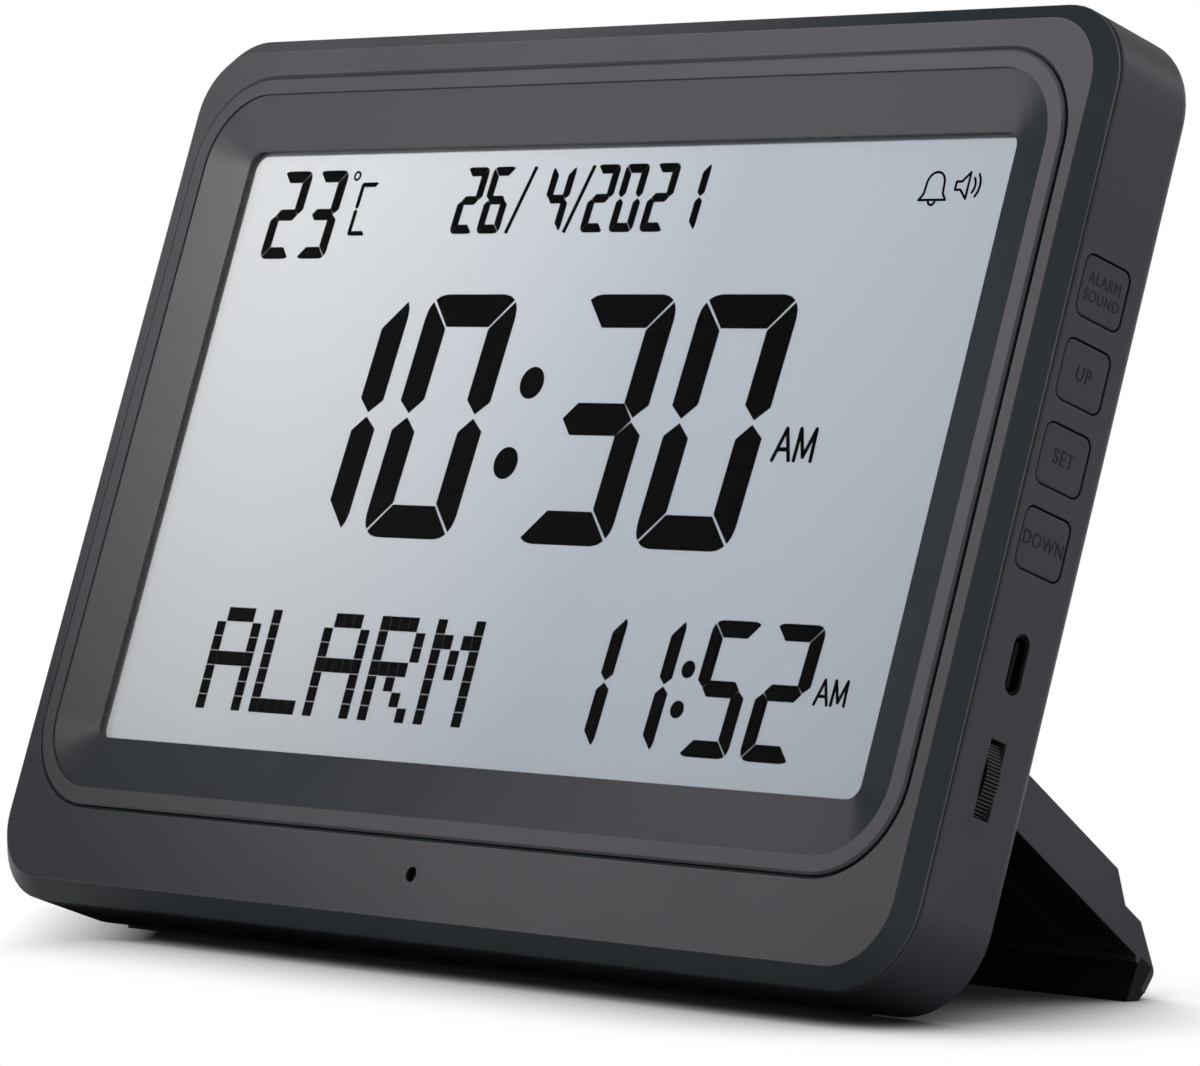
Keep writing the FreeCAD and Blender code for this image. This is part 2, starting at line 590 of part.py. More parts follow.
# Each figure row: text, right edge and top of each cell, cell width and height, stroke. The main
# time is placed from the window's middle, and the others from the window's edges.
TIME_ROW = {"text": "1030", "rights": (-38.4, -13.1, 22.7, 48.9), "top": 26.0,
            "w": 21.0, "h": 40.4, "stroke": 5.4}
SECOND_TIME_ROW = {"text": "1152", "rights": [WIN_X - inset for inset in (57.2, 44.5, 28.5, 15.6)],
                   "top": -WIN_Z + 25.7, "w": 10.4, "h": 21.0, "stroke": 2.6}
TEMPERATURE_ROW = {"text": "23", "rights": (-WIN_X + 15.2, -WIN_X + 24.2), "top": WIN_Z - 3.1,
                   "w": 7.3, "h": 15.2, "stroke": 2.0}
DEGREE_ROW = {"text": "C", "rights": (-WIN_X + 32.3,), "top": WIN_Z - 5.3, "w": 4.2, "h": 9.1,
              "stroke": 0.75}
DATE_ROW = {"text": "2642021", "rights": (-28.1, -21.8, -7.8, 2.2, 8.7, 15.6, 22.4), "top": WIN_Z - 3.1,
            "w": 5.3, "h": 11.2, "stroke": 1.5}

# Round marks: middle and radius
COLON_DOTS = ((-5.6, 11.5, 2.6), (-6.9, -1.6, 2.6),
              (WIN_X - 42.0, -WIN_Z + 17.9, 1.35), (WIN_X - 42.3, -WIN_Z + 11.7, 1.35))
DEGREE_RING = (-WIN_X + 26.4, WIN_Z - 4.1, 0.85)
DEGREE_RING_HOLE_R = 0.5
SLASH_BOTTOM, SLASH_TOP = WIN_Z - 14.3, WIN_Z - 3.2
SLASHES = (((-20.7, SLASH_BOTTOM), (-17.3, SLASH_TOP)), ((-7.3, SLASH_BOTTOM), (-3.9, SLASH_TOP)))
SLASH_W = 0.7

# The letters A and M, as shares of their height, with their pen width
LETTER_A = ((0, 0), (0.35, 1), (0.7, 0))
LETTER_A_BAR = ((0.14, 0.34), (0.56, 0.34))
LETTER_M = ((0.92, 0), (0.95, 1), (1.27, 0.12), (1.6, 1), (1.63, 0))
LETTER_PEN = 0.13

# The letters after each time: left edge, foot and height
TIME_LETTERS = (50.9, 0.1, 4.9)
SECOND_TIME_LETTERS = (WIN_X - 14.7, -WIN_Z + 13.9, 3.7)

# Alarm sign: middle, size and pen width. Its bell, clapper, horn and waves are shares of the size:
# the bell's mouth, waist and dome, the clapper's bow, the horn's outline and the waves' radii.
ALARM_SIGN = (WIN_X - 15.8, WIN_Z - 8.1, 5.4, 0.35)
BELL_MOUTH = (0.50, -0.32)
BELL_WAIST = (0.36, -0.14)
BELL_DOME = (0.33, 0.16)
CLAPPER = (0.13, -0.34)
HORN = ((0.78, 0.20), (0.98, 0.20), (1.24, 0.46), (1.24, -0.30), (0.98, -0.04), (0.78, -0.04), (0.78, 0.20))
WAVE_MIDDLE = (1.16, 0.08)
WAVE_RADII = (0.34, 0.52)
WAVE_SPREAD = 38

WORD = "ALARM"
WORD_LEFT = -WIN_X + 21.0
WORD_TOP = -WIN_Z + 23.5
DOT_PITCH_X = 2.19
DOT_PITCH_Z = 2.44
DOT_GAP = 0.14
DOT_ROWS = {
    "A": ("01110", "10001", "10001", "11111", "10001", "10001", "10001"),
    "L": ("10000", "10000", "10000", "10000", "10000", "10000", "11111"),
    "R": ("11110", "10001", "10001", "11110", "10100", "10010", "10001"),
    "M": ("10001", "11011", "10101", "10101", "10001", "10001", "10001"),
}


def segment_outlines(w, h, t):
    """Outlines of the seven segments of one upright figure, lower left corner at (0, 0)."""
    g = SEGMENT_GAP * t
    m = h / 2
    r = CORNER_SHARE * t
    side, flat = r * (1 - math.sin(math.pi / 8)), r * (1 - math.cos(math.pi / 8))
    mid = r * (1 - math.sqrt(0.5))
    upper_left = [(0, h - r), (flat, h - side), (mid - g, h - mid - g), (t, h - t - 2 * g),
                  (t, m + t / 2), (t / 2, m + 2 * g), (0, m + POINT_SHARE * t)]
    top = [(mid + g, h - mid + g), (side, h - flat), (r, h), (w - r, h), (w - side, h - flat),
           (w - mid - g, h - mid + g), (w - t - g, h - t), (t + g, h - t)]
    bar = MIDDLE_SHARE * t
    middle = [(t / 2 + g, m), (t, m + bar), (w - t, m + bar),
              (w - t / 2 - g, m), (w - t, m - bar), (t, m - bar)]

    def across(points):
        return [(w - x, z) for x, z in points]

    def down(points):
        return [(x, h - z) for x, z in points]

    return {"f": upper_left, "b": across(upper_left), "e": down(upper_left),
            "c": down(across(upper_left)), "a": top, "d": down(top), "g": middle}


def figure_prisms(row):
    prisms = []
    outlines = segment_outlines(row["w"], row["h"], row["stroke"])
    bottom = row["top"] - row["h"]
    for sign, right in zip(row["text"], row["rights"]):
        left = right - row["w"] - row["h"] * SLANT
        for name in LIT[sign]:
            points = [(left + x + z * SLANT, bottom + z) for x, z in outlines[name]]
            prisms.append(prism_y(points, LCD_Y - SEGMENT_T, LCD_Y))
    return prisms


def stroke(p, q, width):
    """Straight pen stroke between two points."""
    length = math.hypot(q[0] - p[0], q[1] - p[1])
    nx, nz = -(q[1] - p[1]) / length * width / 2, (q[0] - p[0]) / length * width / 2
    return prism_y([(p[0] + nx, p[1] + nz), (q[0] + nx, q[1] + nz),
                    (q[0] - nx, q[1] - nz), (p[0] - nx, p[1] - nz)], LCD_Y - SEGMENT_T, LCD_Y)


def pen_lines(points, width):
    """Joined pen strokes through a list of points."""
    strokes = [stroke(p, q, width) for p, q in zip(points, points[1:])]
    dots = [cylinder(x, LCD_Y - SEGMENT_T, LCD_Y, z, width / 2) for x, z in points]
    return fuse(strokes + dots)


def arc_points(cx, cz, r, start, end, count):
    step = (end - start) / (count - 1)
    return [(cx + r * math.cos(math.radians(start + i * step)),
             cz + r * math.sin(math.radians(start + i * step))) for i in range(count)]


def word_prisms():
    prisms = []
    for place, letter in enumerate(WORD):
        for row, marks in enumerate(DOT_ROWS[letter]):
            for column, mark in enumerate(marks):
                if mark == "0":
                    continue
                x = WORD_LEFT + (place * 6 + column) * DOT_PITCH_X
                z = WORD_TOP - (row + 1) * DOT_PITCH_Z
                prisms.append(box(x, x + DOT_PITCH_X - DOT_GAP, LCD_Y - SEGMENT_T, LCD_Y,
                                  z, z + DOT_PITCH_Z - DOT_GAP))
    return prisms


def am_prisms(left, bottom, height):
    """The letters A and M."""
    pen = height * LETTER_PEN

    def drawn(points):
        return pen_lines([(left + x * height, bottom + z * height) for x, z in points], pen)

    return [fuse([drawn(LETTER_A), drawn(LETTER_A_BAR)]), drawn(LETTER_M)]


def alarm_sign(cx, cz, size, pen):
    """A bell, with a loudspeaker and its sound waves beside it."""
    side = [BELL_DOME, BELL_WAIST, BELL_MOUTH]
    bell = [(-x, z) for x, z in reversed(side)] + arc_points(0, BELL_DOME[1], BELL_DOME[0], 165, 15, 7)
    bell += side + [(-BELL_MOUTH[0], BELL_MOUTH[1])]
    clapper = arc_points(0, CLAPPER[1], CLAPPER[0], 200, 340, 5)
    waves = [arc_points(*WAVE_MIDDLE, r, -WAVE_SPREAD, WAVE_SPREAD, 5) for r in WAVE_RADII]
    lines = [bell, clapper, HORN] + waves
    return [pen_lines([(cx + x * size, cz + z * size) for x, z in line], pen) for line in lines]


def make_lcd_segments():
    prisms = []
    for row in (TIME_ROW, SECOND_TIME_ROW, TEMPERATURE_ROW, DEGREE_ROW, DATE_ROW):
        prisms += figure_prisms(row)
    prisms += [cylinder(x, LCD_Y - SEGMENT_T, LCD_Y, z, r) for x, z, r in COLON_DOTS]
    prisms += [stroke(p, q, SLASH_W) for p, q in SLASHES]
    ring_x, ring_z, ring_r = DEGREE_RING
    ring = cylinder(ring_x, LCD_Y - SEGMENT_T, LCD_Y, ring_z, ring_r)
    prisms.append(ring.cut(cylinder(ring_x, LCD_Y - SEGMENT_T, LCD_Y, ring_z, DEGREE_RING_HOLE_R)))
    prisms += word_prisms()
    prisms += am_prisms(*TIME_LETTERS)
    prisms += am_prisms(*SECOND_TIME_LETTERS)
    prisms += alarm_sign(*ALARM_SIGN)
    return Part.makeCompound(prisms)


PIECES["lcd_segments"] = make_lcd_segments()

# ---------------------------------------------------------------- rear housing


def stadium(x0, x1, y, z, width, length):
    """Slot with round ends through the side wall, long way up the case."""
    r = width / 2
    half = length / 2 - r
    return fuse([box(x0, x1, y - r, y + r, z - half, z + half),
                 bar_x(x0, x1, y, z - half, r), bar_x(x0, x1, y, z + half, r)])


def side_slab(x0, x1, y, z, half_y, half_z, r):
    """Rounded rectangle in the side wall's plane, extruded across the clock."""
    outline = rounded_outline(y - half_y, y + half_y, z - half_z, z + half_z, r,
                              lambda depth, height: V(x0, depth, height))
    return Part.Face(outline).extrude(V(x1 - x0, 0, 0))


def wheel_window():
    """Window in the side wall that opens out behind, where more of the wheel passes."""
    outer = WHEEL_SLOT_L / 2
    inner = outer + WHEEL_SLOT_FLARE
    return prism_y([(CASE_X, WHEEL_Z - outer), (CASE_X, WHEEL_Z + outer),
                    (INNER_X, WHEEL_Z + inner), (INNER_X, WHEEL_Z - inner)],
                   CONTROL_Y - WHEEL_T / 2 - FIT, CONTROL_Y + WHEEL_T / 2 + FIT)


def grille_slots():
    slots = []
    for i in range(GRILLE_SLOTS):
        offset = (i - (GRILLE_SLOTS - 1) / 2) * GRILLE_PITCH
        reach = SPEAKER_R - SPEAKER_RIM
        half = math.sqrt(reach * reach - offset * offset)
        slots.append(slab(SPEAKER_X - half, SPEAKER_X + half, SPEAKER_Z + offset - GRILLE_W / 2,
                          SPEAKER_Z + offset + GRILLE_W / 2, GRILLE_SLOT_R, BACK_INNER_Y, CASE_DEPTH))
    return slots


def outer_edges(shape, y):
    """Edges of the case's outline at one depth."""
    found = []
    for edge in shape.Edges:
        b = edge.BoundBox
        if abs(b.YMin - y) > 0.001 or abs(b.YMax - y) > 0.001:
            continue
        found.append(edge)
    return found


def make_rear_housing():
    shell = case_slab(0, SEAM_Y, CASE_DEPTH)
    shell = shell.makeFillet(REAR_EDGE_R, outer_edges(shell, CASE_DEPTH))
    shell = shell.makeFillet(SEAM_EDGE_R, outer_edges(shell, SEAM_Y))
    shell = shell.cut(case_slab(WALL, SEAM_Y, BACK_INNER_Y))

    added = [box(-LEG_X - RECESS_SIDE_GAP - BACK_T, LEG_X + RECESS_SIDE_GAP + BACK_T,
                 RECESS_Y - BACK_T, BACK_INNER_Y, RECESS_BOTTOM - BACK_T, RECESS_TOP + BACK_T),
             box(-COMPARTMENT_X - BAY_WALL, COMPARTMENT_X + BAY_WALL, COMPARTMENT_Y - BAY_WALL,
                 BACK_INNER_Y, INNER_BOTTOM, CELL_Z + BAY_HALF + BAY_WALL),
             cylinder(SPEAKER_X, BACK_INNER_Y - SPEAKER_DEPTH, BACK_INNER_Y, SPEAKER_Z,
                      SPEAKER_R + FIT + BAY_WALL)]
    added += [cylinder(x, CASE_BOSS_Y, BACK_INNER_Y, z, REAR_BOSS_R) for x, z in CASE_BOSSES]
    body = fuse([shell] + added)

    removed = [box(-LEG_X - RECESS_SIDE_GAP, LEG_X + RECESS_SIDE_GAP, RECESS_Y, CASE_DEPTH,
                   RECESS_BOTTOM, RECESS_TOP),
               cylinder(SPEAKER_X, BACK_INNER_Y - SPEAKER_DEPTH, BACK_INNER_Y, SPEAKER_Z, SPEAKER_R + FIT),
               box(-DOOR_X - FIT, DOOR_X + FIT, DOOR_Y, CASE_DEPTH,
                   CELL_Z - DOOR_HALF - FIT, CELL_Z + DOOR_HALF + FIT),
               stadium(INNER_X, CASE_X, CONTROL_Y, SOCKET_Z, SOCKET_SLOT_W, SOCKET_SLOT_L),
               wheel_window()]
    for i in range(CELL_COUNT):
        x0 = -COMPARTMENT_X + i * (BAY_L + BAY_WALL)
        removed.append(box(x0, x0 + BAY_L, COMPARTMENT_Y, DOOR_Y, CELL_Z - BAY_HALF, CELL_Z + BAY_HALF))
    for z in BUTTON_ZS:
        removed.append(side_slab(INNER_X, CASE_X, BUTTON_DEPTH_Y, z, BUTTON_W / 2 + SLIDE_GAP,
                                 BUTTON_H / 2 + SLIDE_GAP, BUTTON_R + SLIDE_GAP))
    for x, z in CASE_BOSSES:
        removed.append(cylinder(x, CASE_BOSS_Y, CASE_DEPTH, z, CASE_SCREW[0] + FIT))
        removed.append(cylinder(x, CASE_SCREW_SEAT_Y, CASE_DEPTH, z, CASE_SCREW[1] + FIT))
    removed.append(box(-CASE_FOOT_HALF, CASE_FOOT_HALF, CASE_FOOT_FRONT, CASE_FOOT_REAR,
                       CASE_BOTTOM, CASE_BOTTOM + CASE_FOOT_SINK))
    removed += grille_slots()
    body = cut(body, removed)

    lugs = []
    for side in (-1, 1):
        x = side * LUG_X
        lug = fuse([box(x - LUG_W / 2, x + LUG_W / 2, RECESS_Y, PIVOT_Y, PIVOT_Z - LUG_R, PIVOT_Z + LUG_R),
                    bar_x(x - LUG_W / 2, x + LUG_W / 2, PIVOT_Y, PIVOT_Z, LUG_R)])
        lugs.append(lug.cut(bar_x(x - LUG_W / 2, x + LUG_W / 2, PIVOT_Y, PIVOT_Z, PIN_R + RUN)))
    return fuse([body] + lugs)


PIECES["rear_housing"] = make_rear_housing()
PIECES["housing_screws"] = Part.makeCompound(
    [screw(x, z, CASE_SCREW_SEAT_Y, CASE_BOSS_Y - SCREW_DEPTH, CASE_SCREW) for x, z in CASE_BOSSES])

# ---------------------------------------------------------------- side controls


def make_button(z):
    """Key cap that fills its hole in the side wall, with a flange behind the wall."""
    cap = side_slab(FLANGE_X, CASE_X, BUTTON_DEPTH_Y, z, BUTTON_W / 2, BUTTON_H / 2, BUTTON_R)
    rim = [e for e in cap.Edges if e.BoundBox.XMin > CASE_X - 0.001]
    cap = cap.makeFillet(BUTTON_EDGE_R, rim)
    flange = side_slab(FLANGE_X - BUTTON_FLANGE_T, FLANGE_X, BUTTON_DEPTH_Y, z,
                       BUTTON_W / 2 + BUTTON_FLANGE, BUTTON_H / 2 + BUTTON_FLANGE, BUTTON_R + BUTTON_FLANGE)
    return fuse([cap, flange])


def make_switch(z):
    """Tact switch lying on the board, plunger towards the button."""
    tip = FLANGE_X - BUTTON_FLANGE_T - BUTTON_TRAVEL - SWITCH_CLEAR
    face = tip - SWITCH_PLUNGER_L
    can = box(BOARD_IN_X + FIT, face, CONTROL_TOP_Y, CONTROL_TOP_Y + SWITCH_H,
              z - SWITCH_W / 2, z + SWITCH_W / 2)
    return fuse([can, bar_x(face, tip, BUTTON_DEPTH_Y, z, SWITCH_PLUNGER_R)])


def make_usb_socket():
    """Metal shell with its tongue and four legs down to the board."""
    mouth = CASE_X - SOCKET_INSET
    back = mouth - SOCKET_LEN
    shell = stadium(back, mouth, CONTROL_Y, SOCKET_Z, SOCKET_SLOT_W - FIT, SOCKET_SLOT_L - FIT)
    inner_w = SOCKET_SLOT_W - FIT - 2 * SOCKET_WALL
    inner_l = SOCKET_SLOT_L - FIT - 2 * SOCKET_WALL
    shell = shell.cut(stadium(back + SOCKET_WALL, mouth, CONTROL_Y, SOCKET_Z, inner_w, inner_l))
    tongue = box(back, mouth - SOCKET_TONGUE_BACK, CONTROL_Y - SOCKET_TONGUE_T / 2,
                 CONTROL_Y + SOCKET_TONGUE_T / 2, SOCKET_Z - SOCKET_TONGUE_W / 2,
                 SOCKET_Z + SOCKET_TONGUE_W / 2)
    leg_z = (SOCKET_SLOT_L - FIT - SOCKET_WALL) / 2
    legs = [box(x, x + SOCKET_LEG_L, CONTROL_TOP_Y, CONTROL_Y, z - SOCKET_WALL / 2, z + SOCKET_WALL / 2)
            for x in (back, BOARD_OUT_X - SOCKET_LEG_L) for z in (SOCKET_Z - leg_z, SOCKET_Z + leg_z)]
    legs = [leg.cut(stadium(back, mouth, CONTROL_Y, SOCKET_Z, inner_w, inner_l)) for leg in legs]
    return fuse([shell, tongue] + legs)


def make_volume_wheel():
    """Thumb wheel with fine ridges along its rim."""
    points = []
    for i in range(WHEEL_RIDGES):
        for share, r in ((0.0, WHEEL_R), (0.5, WHEEL_R - WHEEL_RIDGE_H)):
            a = 2 * math.pi * (i + share) / WHEEL_RIDGES
            points.append((WHEEL_X + r * math.cos(a), WHEEL_Z + r * math.sin(a)))
    wheel = prism_y(points, CONTROL_Y - WHEEL_T / 2, CONTROL_Y + WHEEL_T / 2)
    return wheel.cut(cylinder(WHEEL_X, CONTROL_Y - WHEEL_T / 2, CONTROL_Y + WHEEL_T / 2, WHEEL_Z,
                              POT_SHAFT_R + RUN))


def make_volume_pot():
    """Potentiometer base on the board, with the shaft and cap that carry the wheel."""
    wheel_front = CONTROL_Y - WHEEL_T / 2 - FIT
    wheel_back = CONTROL_Y + WHEEL_T / 2 + FIT
    return fuse([cylinder(WHEEL_X, CONTROL_TOP_Y, wheel_front, WHEEL_Z, POT_BASE_R),
                 cylinder(WHEEL_X, wheel_front, wheel_back, WHEEL_Z, POT_SHAFT_R),
                 cylinder(WHEEL_X, wheel_back, wheel_back + POT_CAP_T, WHEEL_Z, POT_CAP_R)])


def make_control_board():
    board = box(BOARD_IN_X, BOARD_OUT_X, CONTROL_BOARD_Y, CONTROL_TOP_Y, CONTROL_BOARD_BOTTOM,
                CONTROL_BOARD_TOP)
    return cut(board, [cylinder(BOARD_SCREW_X, CONTROL_BOARD_Y, CONTROL_TOP_Y, z, SMALL_SCREW[0] + FIT)
                       for z in BOARD_SCREW_ZS])


for button_name, button_z in zip(BUTTON_NAMES, BUTTON_ZS):
    PIECES[button_name] = make_button(button_z)
PIECES["tact_switches"] = Part.makeCompound([make_switch(z) for z in BUTTON_ZS])
PIECES["usb_socket"] = make_usb_socket()
PIECES["volume_wheel"] = make_volume_wheel()
PIECES["volume_pot"] = make_volume_pot()
PIECES["control_board"] = make_control_board()
PIECES["control_board_screws"] = Part.makeCompound(
    [screw(BOARD_SCREW_X, z, CONTROL_TOP_Y, BEZEL_BACK + REST_GAP, SMALL_SCREW) for z in BOARD_SCREW_ZS])

# ---------------------------------------------------------------- main board and sensors

# Components on the back of the main board, with their heights above its lower edge
# Chips: left, bottom, width, height, thickness. Capacitors: middle, height and radius.
CHIPS = ((20.0, 10.2, 14.0, 14.0, 1.6), (48.0, 8.2, 8.0, 6.0, 1.4), (-10.0, 8.2, 9.0, 9.0, 1.8),
         (64.0, 20.2, 6.0, 5.0, 1.2))
CAPACITORS = ((4.0, 24.2, 2.5), (12.0, 24.2, 2.5), (56.0, 26.2, 2.0))
CAPACITOR_H = 3.6


def make_main_board():
    board = box(BOARD_LEFT, BOARD_RIGHT, BOARD_Y, BOARD_Y + BOARD_T, BOARD_BOTTOM, BOARD_TOP)
    return cut(board, [cylinder(x, BOARD_Y, BOARD_Y + BOARD_T, z, SMALL_SCREW[0] + FIT)
                       for x, z in BOARD_SCREWS])


def make_link_cable():
    """Flat cable, from the back of the main board down to the control board."""
    back, front = BOARD_BACK, CONTROL_TOP_Y
    x0 = BOARD_RIGHT - CABLE_LAP
    x1 = BOARD_IN_X + CABLE_EDGE
    x2 = x1 + CABLE_LAP
    points = [(x0, back), (x0, back + CABLE_T), (x1 + CABLE_T, back + CABLE_T),
              (x1 + CABLE_T, front + CABLE_T), (x2, front + CABLE_T), (x2, front), (x1, front), (x1, back)]
    corners = [V(x, y, CONTROL_BOARD_TOP - CABLE_EDGE - CABLE_W) for x, y in points]
    return Part.Face(Part.makePolygon(corners + corners[:1])).extrude(V(0, 0, CABLE_W))


def make_light_sensor():
    """Clear dome behind the small hole in the lower margin, on its own small board."""
    return fuse([cylinder(0, COVER_T - SENSOR_DOME_L, COVER_T, SENSOR_Z, SENSOR_HOLE_R - RUN),
                 cylinder(0, COVER_T, COVER_T + SENSOR_BODY_T, SENSOR_Z, SENSOR_BODY_R)])


def make_temperature_sensor():
    """Thermistor bead on two leads at the foot of the control board."""
    x = BOARD_OUT_X - BEAD_EDGE
    y = CONTROL_TOP_Y
    z = CONTROL_BOARD_BOTTOM + BEAD_R
    leads = [box(x + side * BEAD_R / 2 - LEAD_T / 2, x + side * BEAD_R / 2 + LEAD_T / 2, y, y + BEAD_STAND,
                 z - LEAD_T / 2, z + LEAD_T / 2) for side in (-1, 1)]
    return fuse(leads + [Part.makeSphere(BEAD_R, V(x, y + BEAD_STAND, z))])


PIECES["main_board"] = make_main_board()
PIECES["main_board_screws"] = Part.makeCompound(
    [screw(x, z, BOARD_BACK, HOLDER_BACK, SMALL_SCREW) for x, z in BOARD_SCREWS])
PIECES["main_board_chips"] = Part.makeCompound(
    [box(x, x + w, BOARD_BACK, BOARD_BACK + t, BOARD_BOTTOM + z, BOARD_BOTTOM + z + h)
     for x, z, w, h, t in CHIPS])
PIECES["main_board_capacitors"] = Part.makeCompound(
    [cylinder(x, BOARD_BACK, BOARD_BACK + CAPACITOR_H, BOARD_BOTTOM + z, r) for x, z, r in CAPACITORS])
PIECES["board_link_cable"] = make_link_cable()
PIECES["light_sensor"] = make_light_sensor()
PIECES["light_sensor_board"] = box(-SENSOR_BOARD_W / 2, SENSOR_BOARD_W / 2, COVER_T + SENSOR_BODY_T,
                                   COVER_T + SENSOR_BODY_T + SENSOR_BOARD_T,
                                   SENSOR_Z - SENSOR_BOARD_H / 2, SENSOR_Z + SENSOR_BOARD_H / 2)
PIECES["temperature_sensor"] = make_temperature_sensor()

# ---------------------------------------------------------------- speaker


def speaker_profile(points):
    """Ring turned about the speaker's axis, from (radius, depth) points."""
    corners = [V(SPEAKER_X + r, y, SPEAKER_Z) for r, y in points]
    return Part.Face(Part.makePolygon(corners + corners[:1])).revolve(
        V(SPEAKER_X, 0, SPEAKER_Z), V(0, 1, 0), 360)


MAGNET_BACK = BACK_INNER_Y - SPEAKER_DEPTH + MAGNET_T
BASKET_IN = SPEAKER_R - SPEAKER_RIM
CONE_TOP = BACK_INNER_Y - CONE_GAP
CONE_BOTTOM = MAGNET_BACK + 2 * BASKET_T
PIECES["speaker_basket"] = speaker_profile(
    [(SPEAKER_R, BACK_INNER_Y), (BASKET_IN, BACK_INNER_Y), (BASKET_IN, BACK_INNER_Y - BASKET_T),
     (POLE_R, MAGNET_BACK + BASKET_T), (POLE_R, MAGNET_BACK),
     (BASKET_IN, MAGNET_BACK), (SPEAKER_R, BACK_INNER_Y - 2 * BASKET_T)])
PIECES["speaker_magnet"] = cylinder(SPEAKER_X, MAGNET_BACK - MAGNET_T, MAGNET_BACK, SPEAKER_Z, MAGNET_R)
PIECES["speaker_cone"] = speaker_profile(
    [(0, CONE_BOTTOM), (DUST_CAP_R, CONE_BOTTOM), (BASKET_IN - CONE_RIM, CONE_TOP - CONE_T),
     (BASKET_IN, CONE_TOP - CONE_T), (BASKET_IN, CONE_TOP), (BASKET_IN - CONE_RIM, CONE_TOP),
     (DUST_CAP_R, CONE_BOTTOM + CONE_T), (0, CONE_BOTTOM + CONE_T + DUST_CAP_RISE)])

# ---------------------------------------------------------------- batteries


PLATE_SPAN = (CELL_Y - PLATE_W / 2, CELL_Y + PLATE_W / 2, CELL_Z - PLATE_H / 2, CELL_Z + PLATE_H / 2)


def bay_start(i):
    return -COMPARTMENT_X + i * (BAY_L + BAY_WALL)


def make_cell(i):
    """Round cell with its button end towards the plate contact, each one turned about."""
    x0, x1 = bay_start(i), bay_start(i) + BAY_L
    if i % 2 == 0:
        body_end = x1 - PLATE_T - CELL_NIB_L
        return fuse([bar_x(body_end - CELL_L, body_end, CELL_Y, CELL_Z, CELL_R),
                     bar_x(body_end, x1 - PLATE_T, CELL_Y, CELL_Z, CELL_NIB_R)])
    body_end = x0 + PLATE_T + CELL_NIB_L
    return fuse([bar_x(body_end, body_end + CELL_L, CELL_Y, CELL_Z, CELL_R),
                 bar_x(x0 + PLATE_T, body_end, CELL_Y, CELL_Z, CELL_NIB_R)])


def make_battery_spring(i):
    """Flat plate and wire coils that press on the cell's flat end."""
    wall = bay_start(i) if i % 2 == 0 else bay_start(i) + BAY_L
    inward = 1 if i % 2 == 0 else -1
    space = BAY_L - 2 * PLATE_T - CELL_NIB_L - CELL_L
    pitch = (space - 2 * SPRING_WIRE_R) / (SPRING_TURNS - 1)
    plate = box(min(wall, wall + inward * PLATE_T), max(wall, wall + inward * PLATE_T),
                *PLATE_SPAN)
    rings = []
    for turn in range(SPRING_TURNS):
        x = wall + inward * (PLATE_T + SPRING_WIRE_R + turn * pitch)
        radius = SPRING_R - turn * SPRING_TAPER
        rings.append(Part.makeTorus(radius, SPRING_WIRE_R, V(x, CELL_Y, CELL_Z), X_AXIS))
        if turn:
            rings.append(bar_x(min(x, x - inward * pitch), max(x, x - inward * pitch),
                               CELL_Y, CELL_Z + radius + SPRING_TAPER / 2, SPRING_WIRE_R))
    return fuse([plate] + rings)


def make_battery_plate(i):
    wall = bay_start(i) + BAY_L if i % 2 == 0 else bay_start(i)
    inward = -1 if i % 2 == 0 else 1
    return box(min(wall, wall + inward * PLATE_T), max(wall, wall + inward * PLATE_T), *PLATE_SPAN)


def make_battery_door():
    door = box(-DOOR_X, DOOR_X, DOOR_Y, CASE_DEPTH, CELL_Z - DOOR_HALF, CELL_Z + DOOR_HALF)
    corners = [e for e in door.Edges if abs(e.BoundBox.YMax - e.BoundBox.YMin - DOOR_T) < 0.001]
    door = door.makeFillet(DOOR_CORNER_R, corners)
    grips = []
    for i in range(DOOR_GRIPS):
        top = CELL_Z + DOOR_HALF - GRIP_INSET - i * GRIP_PITCH
        grips.append(box(-GRIP_L / 2, GRIP_L / 2, CASE_DEPTH - GRIP_DEPTH, CASE_DEPTH, top - GRIP_W, top))
    return cut(door, grips)


PIECES["battery_cells"] = Part.makeCompound([make_cell(i) for i in range(CELL_COUNT)])
PIECES["battery_springs"] = Part.makeCompound([make_battery_spring(i) for i in range(CELL_COUNT)])
PIECES["battery_plates"] = Part.makeCompound([make_battery_plate(i) for i in range(CELL_COUNT)])
PIECES["battery_door"] = make_battery_door()

# ---------------------------------------------------------------- stand leg


def open_leg(shape):
    """Turn a piece drawn in the leg's own frame (length Y, outer side Z) to the open leg."""
    shape.rotate(V(0, 0, 0), X_AXIS, -LEG_ANGLE)
    shape.translate(V(0, PIVOT_Y, PIVOT_Z))
    return shape


def floor_line(distance):
    """Point on the floor, in the leg's own frame, this far forward of the touching edge."""
    a = math.radians(LEG_SLOPE)
    return (LEG_REACH - distance * math.cos(a), -LEG_DROP - distance * math.sin(a))


FOOT_BACK = LEG_NOSE_L - LEG_LIP_T
FOOT_FRONT = FOOT_BACK - FOOT_T


